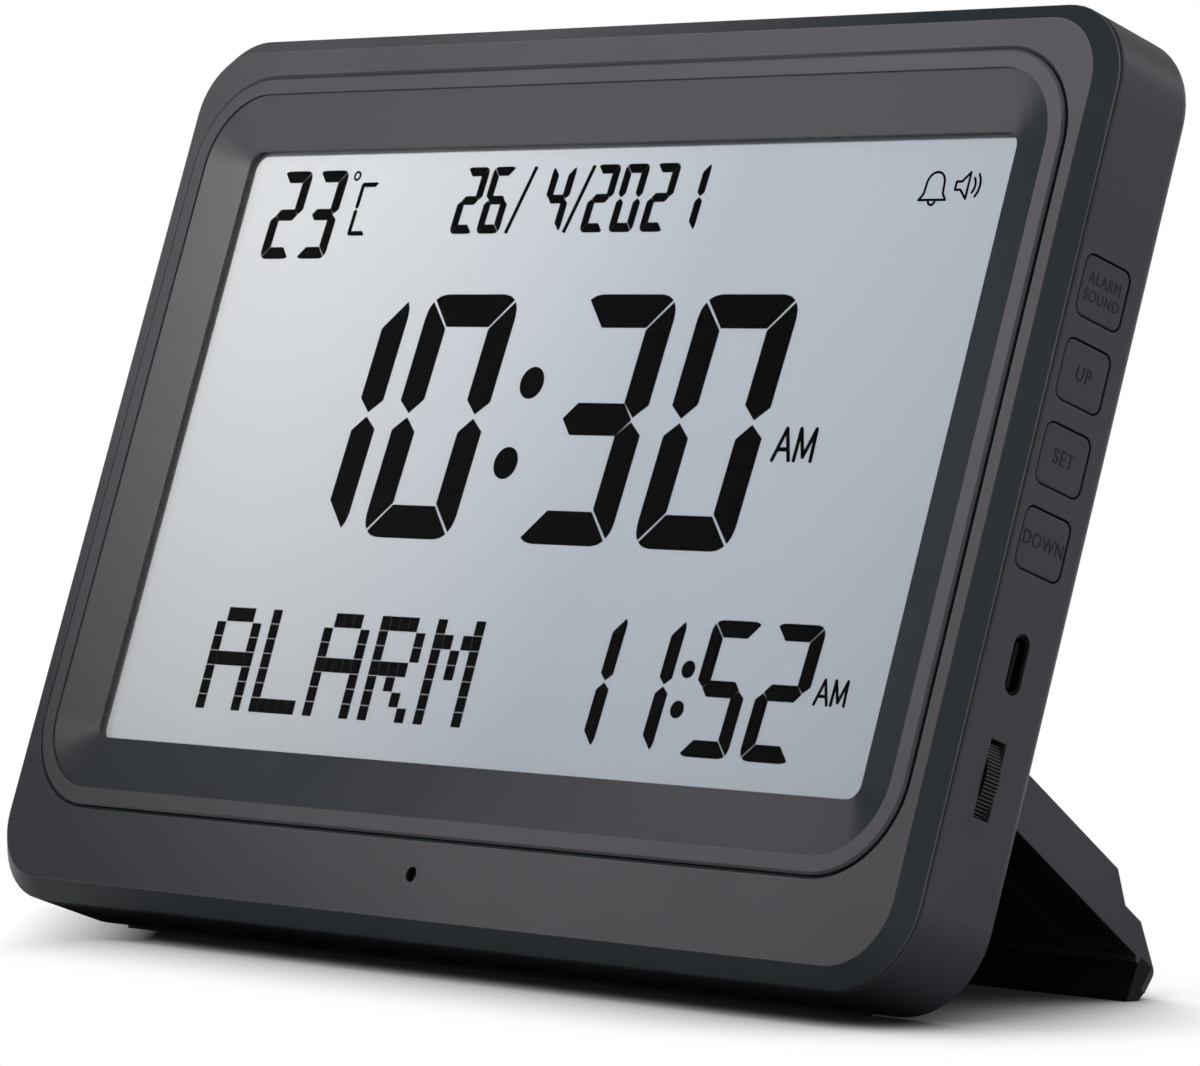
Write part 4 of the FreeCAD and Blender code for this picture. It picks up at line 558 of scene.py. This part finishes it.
MM = 0.001
KEY_COLOUR = (0.048, 0.050, 0.058, 1.0)
KEY_WORN = (0.12, 0.122, 0.13, 1.0)
KEY_EDGE_WIDTH = 0.3 * MM
KEY_EDGE_WEAR = 0.7
LETTER_COLOUR = (0.020, 0.020, 0.023, 1.0)
LETTER_WORN = (0.03, 0.03, 0.032, 1.0)
LETTER_EDGE_WIDTH = 0.08 * MM
LETTER_RISE = 0.06 * MM
LETTER_NARROW = 0.82                # width of the letters, as a share of the plain width
LETTER_SPACE = 1.14
LINE_SPACE = 1.05
CAPITAL_SHARE = 0.72                # height of a capital, as a share of the type's size
KEY_WORDS = {                       # words, height of their capitals and how much bolder they are
    "alarm_sound_button": ("ALARM\nSOUND", 1.8 * MM, 0.0),
    "up_button": ("UP", 2.3 * MM, 0.03 * MM),
    "set_button": ("SET", 2.3 * MM, 0.03 * MM),
    "down_button": ("DOWN", 2.2 * MM, 0.02 * MM),
}

key_plastic = moulded("key_plastic", KEY_COLOUR, KEY_WORN, SATIN,
                      edge_width=KEY_EDGE_WIDTH, edge_wear=KEY_EDGE_WEAR)
letter_ink = moulded("letter_ink", LETTER_COLOUR, LETTER_WORN, roughness=0.5,
                     edge_width=LETTER_EDGE_WIDTH)
side_turn = Matrix((case_back * LETTER_NARROW, case_up, case_right)).transposed()


def key_letters(key, words, height, bold):
    """Raised letters on the outer face of one key."""
    curve = bpy.data.curves.new(key + "_letters", "FONT")
    curve.body = words
    curve.size = height / CAPITAL_SHARE
    curve.align_x = "CENTER"
    curve.align_y = "CENTER"
    curve.space_character = LETTER_SPACE
    curve.space_line = LINE_SPACE
    curve.extrude = LETTER_RISE
    curve.offset = bold
    curve.materials.append(letter_ink)
    letters = bpy.data.objects.new(key + "_letters", curve)
    bpy.context.scene.collection.objects.link(letters)
    low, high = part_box(key)
    middle = (low + high) / 2
    middle.x = high.x
    letters.matrix_world = Matrix.Translation(middle) @ side_turn.to_4x4()
    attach(letters, key)


for key, (words, height, bold) in KEY_WORDS.items():
    dress(key, key_plastic)
    key_letters(key, words, height, bold)

# Tact switches
# Small moulded switches soldered to the board behind the keys, each with a stamped steel cover
# plate.

SWITCH_BLACK = (0.02, 0.02, 0.021, 1.0)
SWITCH_EDGE = (0.3, 0.3, 0.3, 1.0)

dress("tact_switches", moulded("switch_body", SWITCH_BLACK, SWITCH_EDGE, roughness=0.4))

# Screws, hinge pins and battery contacts
# Zinc plated screws, ground steel pins and spring contacts of nickel plated steel, all with
# fine turning or drawing marks.

SCREW_GREY = (0.30, 0.30, 0.31)
PIN_GREY = (0.5, 0.5, 0.5)
CONTACT_GREY = (0.62, 0.60, 0.56)
EVEN_MARKS = (1.0, 1.0, 1.0)
PIN_MARKS = (0.1, 3.0, 3.0)         # drawn out along the pin
MARK_DEPTH = 0.00001
MARK_LIGHTER = (0.82, 1.08)
MARK_ROUGHER = (-0.08, 0.12)


def relief(tree, height, depth):
    """Surface direction over bumps of so much depth."""
    bump = tree.nodes.new("ShaderNodeBump")
    bump.inputs["Distance"].default_value = depth
    tree.links.new(height, bump.inputs["Height"])
    return bump.outputs["Normal"]


def bright_metal(name, colour, roughness, mark_scale, marks_stretched=EVEN_MARKS):
    """Metal with fine marks, even or along one direction."""
    material, tree, shader = new_material(name)
    place = combine_ways(tree, "MULTIPLY", own_place(tree), marks_stretched)
    marks = mottle(tree, mark_scale, detail=3.0, place=place)
    lighter = ramp_between(tree, marks, 0.0, 1.0, *MARK_LIGHTER)
    smooth, rough = (roughness + change for change in MARK_ROUGHER)
    plug(tree, shader.inputs["Base Color"], tinted(tree, colour, lighter))
    plug(tree, shader.inputs["Roughness"], ramp_between(tree, marks, 0.0, 1.0, smooth, rough))
    plug(tree, shader.inputs["Normal"], relief(tree, marks, MARK_DEPTH))
    shader.inputs["Metallic"].default_value = 1.0
    return material


screw_steel = bright_metal("screw_steel", SCREW_GREY, roughness=0.38, mark_scale=2400.0)
for screws in ("holder_screws", "housing_screws", "control_board_screws", "main_board_screws"):
    dress(screws, screw_steel)
dress("leg_hinge_pins", bright_metal("pin_steel", PIN_GREY, roughness=0.25, mark_scale=900.0,
                                     marks_stretched=PIN_MARKS))
contact_steel = bright_metal("contact_steel", CONTACT_GREY, roughness=0.28, mark_scale=1500.0)
dress("battery_springs", contact_steel)
dress("battery_plates", contact_steel)

# USB inlet
# A drawn steel shell round a black tongue with its row of gilt contacts, set just behind the
# rounded slot in the side wall.

SOCKET_DARK = (0.012, 0.012, 0.013)
SOCKET_MARKS = (0.2, 2.0, 2.0)      # drawn out along the shell

dress("usb_socket", bright_metal("socket_steel", SOCKET_DARK, roughness=0.5, mark_scale=1200.0,
                                 marks_stretched=SOCKET_MARKS))

# Volume wheel
# A thumb wheel whose rim stands out of the side wall by a little over half a millimetre,
# moulded with fine ridges and carried on the shaft of a potentiometer.

WHEEL_COLOUR = (0.003, 0.003, 0.0035, 1.0)
# Painted highlight on the outer tips of the ridges
WHEEL_TIP_HIGHLIGHT = (0.13, 0.132, 0.14, 1.0)
WHEEL_TIPS = (0.00888, 0.00898)     # radii between which the ridges turn from black to the grey of a painted highlight
POT_BLACK = (0.1, 0.1, 0.1, 1.0)
POT_EDGE = (0.3, 0.3, 0.3, 1.0)


def ridged_wheel():
    material = moulded("wheel_plastic", WHEEL_COLOUR, WHEEL_COLOUR, roughness=0.4, edge_wear=0.0)
    tree = material.node_tree
    low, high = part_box("volume_wheel")
    apart = combine_ways(tree, "SUBTRACT", own_place(tree), (low + high) / 2)
    across = combine_ways(tree, "CROSS_PRODUCT", apart, case_back)
    # Painted highlight along the outer tips of the ridges
    highlit_tips = ramp_between(tree, combine_ways(tree, "LENGTH", across), *WHEEL_TIPS)
    plug(tree, grain_of(material).inputs["Colour"],
         mix_colours(tree, highlit_tips, WHEEL_COLOUR, WHEEL_TIP_HIGHLIGHT))
    return material


dress("volume_wheel", ridged_wheel())
dress("volume_pot", moulded("pot_body", POT_BLACK, POT_EDGE, roughness=0.4))

# Circuit boards
# Green laminate with copper tracks under its solder mask, and on it chips in black epoxy,
# capacitors in aluminium cans and a flat cable to the board behind the keys.

MASK_GREEN = (0.012, 0.085, 0.035, 1.0)
MASK_GREEN_PALER = (0.016, 0.10, 0.042, 1.0)
TRACK_GREEN = (0.035, 0.20, 0.075, 1.0)
TRACK_SCALE = 160.0
TRACK_WIDTH = 0.06
MASK_ROUGHNESS = 0.3
WEAVE_SCALE = 900.0
WEAVE_DEPTH = 0.00002
CHIP_BLACK = (0.014, 0.014, 0.015, 1.0)
CHIP_EDGE = (0.04, 0.04, 0.04, 1.0)
CAN_GREY = (0.55, 0.56, 0.58)
CABLE_FILM = (0.72, 0.7, 0.64, 1.0)
CABLE_CORE = (0.4, 0.4, 0.38, 1.0)
CABLE_PITCH = 0.0008


def board_laminate():
    material, tree, shader = new_material("board_laminate")
    tracks = tree.nodes.new("ShaderNodeTexBrick")
    for name, value in (("Vector", own_place(tree)), ("Scale", TRACK_SCALE),
                        ("Mortar Size", TRACK_WIDTH), ("Color1", MASK_GREEN),
                        ("Color2", MASK_GREEN_PALER), ("Mortar", TRACK_GREEN)):
        plug(tree, tracks.inputs[name], value)
    plug(tree, shader.inputs["Base Color"], tracks.outputs["Color"])
    plug(tree, shader.inputs["Normal"], relief(tree, mottle(tree, WEAVE_SCALE), WEAVE_DEPTH))
    shader.inputs["Roughness"].default_value = MASK_ROUGHNESS
    return material


laminate = board_laminate()
for board in ("main_board", "control_board", "light_sensor_board"):
    dress(board, laminate)
dress("main_board_chips", moulded("chip_epoxy", CHIP_BLACK, CHIP_EDGE, roughness=0.5))
dress("main_board_capacitors", bright_metal("capacitor_can", CAN_GREY, roughness=0.3,
                                            mark_scale=800.0))
dress("board_link_cable", printed_dots("cable_film", CABLE_FILM, CABLE_CORE,
                                       CABLE_PITCH, dot_share=0.25, roughness=0.45))

# Sensors
# A bead of black epoxy that feels the temperature, and a small flat light sensor behind the hole
# in the face.

BEAD_BLACK = (0.02, 0.02, 0.022, 1.0)
BEAD_EDGE = (0.05, 0.05, 0.05, 1.0)
SENSOR_BLACK = (0.001, 0.001, 0.0012, 1.0)
SENSOR_EDGE = (0.004, 0.004, 0.004, 1.0)
SENSOR_GRAIN_DEPTH = 0.000002

dress("temperature_sensor", moulded("bead_epoxy", BEAD_BLACK, BEAD_EDGE, roughness=0.25))
dress("light_sensor", moulded("sensor_epoxy", SENSOR_BLACK, SENSOR_EDGE, roughness=0.2,
                              grain_depth=SENSOR_GRAIN_DEPTH, shine=0.05))

# Speaker
# A pressed steel basket with a cone of pressed black paper glued into it and a ferrite magnet
# on its back, clamped to the housing behind the grille.

PAPER_BLACK = (0.012, 0.012, 0.012, 1.0)
PAPER_FIBRE = (0.035, 0.034, 0.032, 1.0)
FIBRE_SCALE = 700.0
FIBRE_DEPTH = 0.0001
PAPER_ROUGHNESS = 0.85
BASKET_BLACK = (0.06, 0.06, 0.06)
FERRITE_GREY = (0.05, 0.05, 0.055, 1.0)
FERRITE_EDGE = (0.12, 0.12, 0.12, 1.0)


def pressed_paper():
    material, tree, shader = new_material("cone_paper")
    fibres = mottle(tree, FIBRE_SCALE, detail=8.0, distortion=1.5)
    plug(tree, shader.inputs["Base Color"], mix_colours(tree, fibres, PAPER_BLACK, PAPER_FIBRE))
    plug(tree, shader.inputs["Normal"], relief(tree, fibres, FIBRE_DEPTH))
    shader.inputs["Roughness"].default_value = PAPER_ROUGHNESS
    return material


dress("speaker_cone", pressed_paper())
dress("speaker_basket", bright_metal("basket_steel", BASKET_BLACK, roughness=0.45,
                                     mark_scale=900.0))
dress("speaker_magnet", moulded("magnet_ferrite", FERRITE_GREY, FERRITE_EDGE, roughness=0.5))

# Battery cells
# Three round cells in plain printed jackets: a copper band at the button end, dark paint over the
# rest and bare steel at both ends.

JACKET_DARK = (0.02, 0.022, 0.028, 1.0)
JACKET_BAND = (0.42, 0.19, 0.06, 1.0)
JACKET_STEPS = (                    # where each colour starts, as a share of the row's length
    (0.0, JACKET_DARK), (0.22, JACKET_BAND), (0.305, JACKET_DARK),
    (0.36, JACKET_BAND), (0.45, JACKET_DARK), (0.92, JACKET_BAND),
)
SCUFF_SCALE = 300.0
JACKET_ROUGHNESS = (0.2, 0.4)
JACKET_METAL = 0.4                  # as much as the thin print lets the steel shine through


def cell_jacket():
    material, tree, shader = new_material("cell_jacket")
    low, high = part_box("battery_cells")
    apart = tree.nodes.new("ShaderNodeSeparateXYZ")
    tree.links.new(own_place(tree), apart.inputs["Vector"])
    bands = tree.nodes.new("ShaderNodeValToRGB")
    bands.color_ramp.interpolation = "CONSTANT"
    steps = bands.color_ramp.elements
    for step, (position, colour) in zip(steps, JACKET_STEPS):
        step.position, step.color = position, colour
    for position, colour in JACKET_STEPS[len(steps):]:
        steps.new(position).color = colour
    tree.links.new(ramp_between(tree, apart.outputs["X"], low.x, high.x), bands.inputs["Fac"])
    scuff = ramp_between(tree, mottle(tree, SCUFF_SCALE), 0.0, 1.0, *JACKET_ROUGHNESS)
    plug(tree, shader.inputs["Base Color"], bands.outputs["Color"])
    plug(tree, shader.inputs["Roughness"], scuff)
    shader.inputs["Metallic"].default_value = JACKET_METAL
    return material


dress("battery_cells", cell_jacket())

# Stand leg
# A wide ribbed shell that swings on two steel pins between the case lugs, with a black rubber
# strip along the end that meets the table. A like strip is set under the case.

LEG_COLOUR = (0.054, 0.055, 0.064, 1.0)
LEG_WORN = (0.12, 0.122, 0.13, 1.0)
LEG_EDGE_WIDTH = 0.0004
LEG_EDGE_WEAR = 0.7
RUBBER_BLACK = (0.010, 0.010, 0.011, 1.0)
RUBBER_WORN = (0.03, 0.03, 0.031, 1.0)
RUBBER_GRAIN = 1500.0
RUBBER_GRAIN_DEPTH = 0.00004

dress("stand_leg", moulded("leg_plastic", LEG_COLOUR, LEG_WORN, roughness=0.38,
                           edge_width=LEG_EDGE_WIDTH, edge_wear=LEG_EDGE_WEAR))
foot_rubber = moulded("foot_rubber", RUBBER_BLACK, RUBBER_WORN, roughness=0.7,
                      grain_scale=RUBBER_GRAIN, grain_depth=RUBBER_GRAIN_DEPTH, shine=0.2)
dress("leg_foot_strip", foot_rubber)
dress("case_foot_strip", foot_rubber)

# Table top
# A plain white table top that runs on without a visible edge into a white background. It shades
# to grey where the clock stands close over it, and throws little light back up.

TABLE_HALF = 6.0
TABLE_WHITE = (1.0, 1.0, 1.0, 1.0)
TABLE_SHADE = (0.004, 0.004, 0.004, 1.0)
TABLE_BOUNCE = (0.10, 0.10, 0.105, 1.0)
SHADE_REACH = 0.050                 # how near the clock has to be to shade the table
SHADE_TO = 0.93                     # how open to the light a spot has to be to stay white
SHADE_CURVE = 2.5
SHADE_WAY = Vector((-0.68, -0.73, 0.0))
SHADE_ENDS = (0.060, 0.084)         # forward and left of the clock, where its shadow fades out


def seen_directly(tree):
    """1 for what the camera, a reflection or a clear piece shows, 0 for light on its way."""
    path = tree.nodes.new("ShaderNodeLightPath").outputs
    value = path["Is Camera Ray"]
    for name in ("Is Glossy Ray", "Is Transmission Ray"):
        value = combine(tree, "MAXIMUM", value, path[name])
    return value


def flat_sheet(name, corners, material):
    """Flat sheet through four corners."""
    mesh = bpy.data.meshes.new(name)
    mesh.from_pydata(corners, [], [(0, 1, 2, 3)])
    mesh.materials.append(material)
    sheet = bpy.data.objects.new(name, mesh)
    bpy.context.scene.collection.objects.link(sheet)
    return sheet


def table_white():
    material, tree, shader = new_material("table_white")
    shader.inputs["Base Color"].default_value = TABLE_BOUNCE
    shader.inputs["Roughness"].default_value = 1.0
    shader.inputs["Specular IOR Level"].default_value = 0.0
    above = tree.nodes.new("ShaderNodeAmbientOcclusion")
    above.samples = 24
    above.inputs["Distance"].default_value = SHADE_REACH
    openness = ramp_between(tree, above.outputs["AO"], 0.0, SHADE_TO)
    faded = ramp_between(tree, distance_along(tree, SHADE_WAY), *SHADE_ENDS)
    white = combine(tree, "MAXIMUM", combine(tree, "POWER", openness, SHADE_CURVE), faded)
    glow = tree.nodes.new("ShaderNodeEmission")
    plug(tree, glow.inputs["Color"], mix_colours(tree, white, TABLE_SHADE, TABLE_WHITE))
    plug(tree, tree.nodes["Material Output"].inputs["Surface"],
         mix_surfaces(tree, seen_directly(tree), shader.outputs["BSDF"], glow.outputs["Emission"]))
    return material


table = flat_sheet("table_top", [(-TABLE_HALF, -TABLE_HALF, 0.0), (TABLE_HALF, -TABLE_HALF, 0.0),
                                 (TABLE_HALF, TABLE_HALF, 0.0), (-TABLE_HALF, TABLE_HALF, 0.0)],
                   table_white())

# Black boards
# Three matt black boards that only the clock's gloss shows. One lies under it, and two stand on
# the table to the left and behind.

BOARD_BLACK = (0.004, 0.004, 0.004, 1.0)
BOARD_EDGE = (0.006, 0.006, 0.006, 1.0)
UNDER_BOARD = (-0.12, -0.03, 0.14, 0.12)        # left, front, right and back
UNDER_BOARD_RISE = 0.0005
STANDING_BOARDS = (                 # name, the two ends of the foot, and height
    ("left_board", (-0.78, -0.36), (-0.59, 0.63), 0.9),
    ("back_board", (-0.59, 0.63), (-0.25, 0.80), 0.42),
)

board_black = moulded("board_black", BOARD_BLACK, BOARD_EDGE, roughness=0.9, shine=0.0)


def black_board(name, corners):
    """Black board that only reflections show."""
    board = flat_sheet(name, corners, board_black)
    board.visible_camera = False
    board.visible_diffuse = False
    board.visible_transmission = False
    board.visible_shadow = False


left, front, right, back = UNDER_BOARD
black_board("under_board", [(x, y, UNDER_BOARD_RISE) for x, y in (
    (left, front), (right, front), (right, back), (left, back))])
for name, start, end, height in STANDING_BOARDS:
    black_board(name, [(*start, 0.0), (*end, 0.0), (*end, height), (*start, height)])

# Light
# A white studio sweep all round with a dark ceiling over it, a wide soft beam from the front on
# the face, a low one on the lower right corner, and soft boxes for the sides, back and rim.

AMBIENT = 0.32
CEILING_FROM = math.sin(math.radians(20))
CEILING_TO = math.sin(math.radians(36))
CEILING_DARK = 0.03                 # as the camera and reflections see it
CEILING_SOFT = 0.25                 # as it lights the clock
CLOCK_MIDDLE = Vector((0.0, 0.0, 0.07))
BEAM_LAMP_SIZE = 0.08
BEAM_DISTANCE = 1.1
BEAMS = (                           # name, degrees round and up, aim, cone in degrees and watts
    ("key", -13, 35, Vector((0.01, 0.01, 0.17)), 26, 37.0),
    ("low_right", 20, 8, Vector((0.08, -0.03, 0.01)), 9, 5.0),
)
SOFT_BOXES = (                      # name, degrees round and up, distance, size, watts, mirrored
    ("front_level", -42, 3, 1.2, (0.5, 0.4), 1.2, True),
    ("side", 95, 12, 1.2, (0.6, 0.6), 6.0, False),
    ("side_back", 135, 5, 1.1, (0.5, 0.7), 1.5, False),
    ("rim", 160, 30, 1.0, (0.20, 0.20), 0.5, True),
    ("back", 200, 3, 1.2, (0.6, 0.6), 9.0, False),
    ("left", 268, 10, 1.2, (0.6, 0.6), 4.0, False),
)


def make_world():
    """White up to the ceiling for what is seen directly, and soft light for the rest."""
    world = bpy.data.worlds.new("studio")
    bpy.context.scene.world = world
    world.use_nodes = True
    tree = world.node_tree
    tree.nodes.clear()
    apart = tree.nodes.new("ShaderNodeSeparateXYZ")
    way = tree.nodes.new("ShaderNodeTexCoord").outputs["Generated"]
    tree.links.new(way, apart.inputs["Vector"])
    shown = []
    for dark, strength in ((CEILING_SOFT, AMBIENT), (CEILING_DARK, 1.0)):
        height = ramp_between(tree, apart.outputs["Z"], CEILING_FROM, CEILING_TO, 1.0, dark)
        height.node.interpolation_type = "SMOOTHSTEP"
        wall = tree.nodes.new("ShaderNodeBackground")
        wall.inputs["Strength"].default_value = strength
        tree.links.new(height, wall.inputs["Color"])
        shown.append(wall.outputs["Background"])
    out = tree.nodes.new("ShaderNodeOutputWorld")
    plug(tree, out.inputs["Surface"], mix_surfaces(tree, seen_directly(tree), *shown))


def hang(lamp, around, up, distance, aim):
    """Put a lamp so many degrees around and up from the clock, turned towards a point."""
    turn, rise = math.radians(around), math.radians(up)
    place = CLOCK_MIDDLE + distance * Vector((math.sin(turn) * math.cos(rise),
                                              -math.cos(turn) * math.cos(rise), math.sin(rise)))
    holder = bpy.data.objects.new(lamp.name, lamp)
    bpy.context.scene.collection.objects.link(holder)
    holder.visible_camera = False
    holder.location = place
    holder.rotation_euler = (aim - place).to_track_quat("-Z", "Y").to_euler()
    return holder


def beam(name, around, up, aim, cone, watts):
    """Beam that is strongest at a point and falls off smoothly round it."""
    lamp = bpy.data.lights.new(name, "SPOT")
    lamp.spot_size = math.radians(cone)
    lamp.spot_blend = 1.0
    lamp.shadow_soft_size = BEAM_LAMP_SIZE
    lamp.energy = watts
    hang(lamp, around, up, BEAM_DISTANCE, aim)


def soft_box(name, around, up, distance, size, watts, mirrored):
    """Soft box aimed at the middle of the clock, and whether its gloss shows it."""
    lamp = bpy.data.lights.new(name, "AREA")
    lamp.shape = "RECTANGLE"
    lamp.size, lamp.size_y = size
    lamp.energy = watts
    hang(lamp, around, up, distance, CLOCK_MIDDLE).visible_glossy = mirrored


make_world()
for settings in BEAMS:
    beam(*settings)
for settings in SOFT_BOXES:
    soft_box(*settings)

# Camera
# A long lens a little above the middle of the clock, in front of it and to its right. It stands
# nearly a metre off, so the clock's edges run almost parallel.

VIEW_WIDTH = 1200                   # of a full render, in pixels
SENSOR = 36.0
FOCAL_PIXELS = 6104.5
CENTRE_OFF = (-1.0, -4.0)           # of the lens from the middle of a render, in pixels
EYE = Vector((0.690869, -0.643512, 0.088269))
LOOK = Vector((-0.72864, 0.68454, -0.02221))
ROLL = math.radians(0.969)
NEAREST = 0.05


def make_camera():
    data = bpy.data.cameras.new("camera")
    data.sensor_fit = "HORIZONTAL"
    data.sensor_width = SENSOR
    data.lens = FOCAL_PIXELS / VIEW_WIDTH * SENSOR
    data.shift_x = -CENTRE_OFF[0] / VIEW_WIDTH
    data.shift_y = CENTRE_OFF[1] / VIEW_WIDTH
    data.clip_start = NEAREST
    camera = bpy.data.objects.new("camera", data)
    bpy.context.scene.collection.objects.link(camera)
    aim = LOOK.to_track_quat("-Z", "Y").to_matrix().to_4x4()
    camera.matrix_world = Matrix.Translation(EYE) @ aim @ Matrix.Rotation(ROLL, 4, "Z")
    bpy.context.scene.camera = camera


make_camera()
bpy.context.scene.view_settings.view_transform = "Standard"
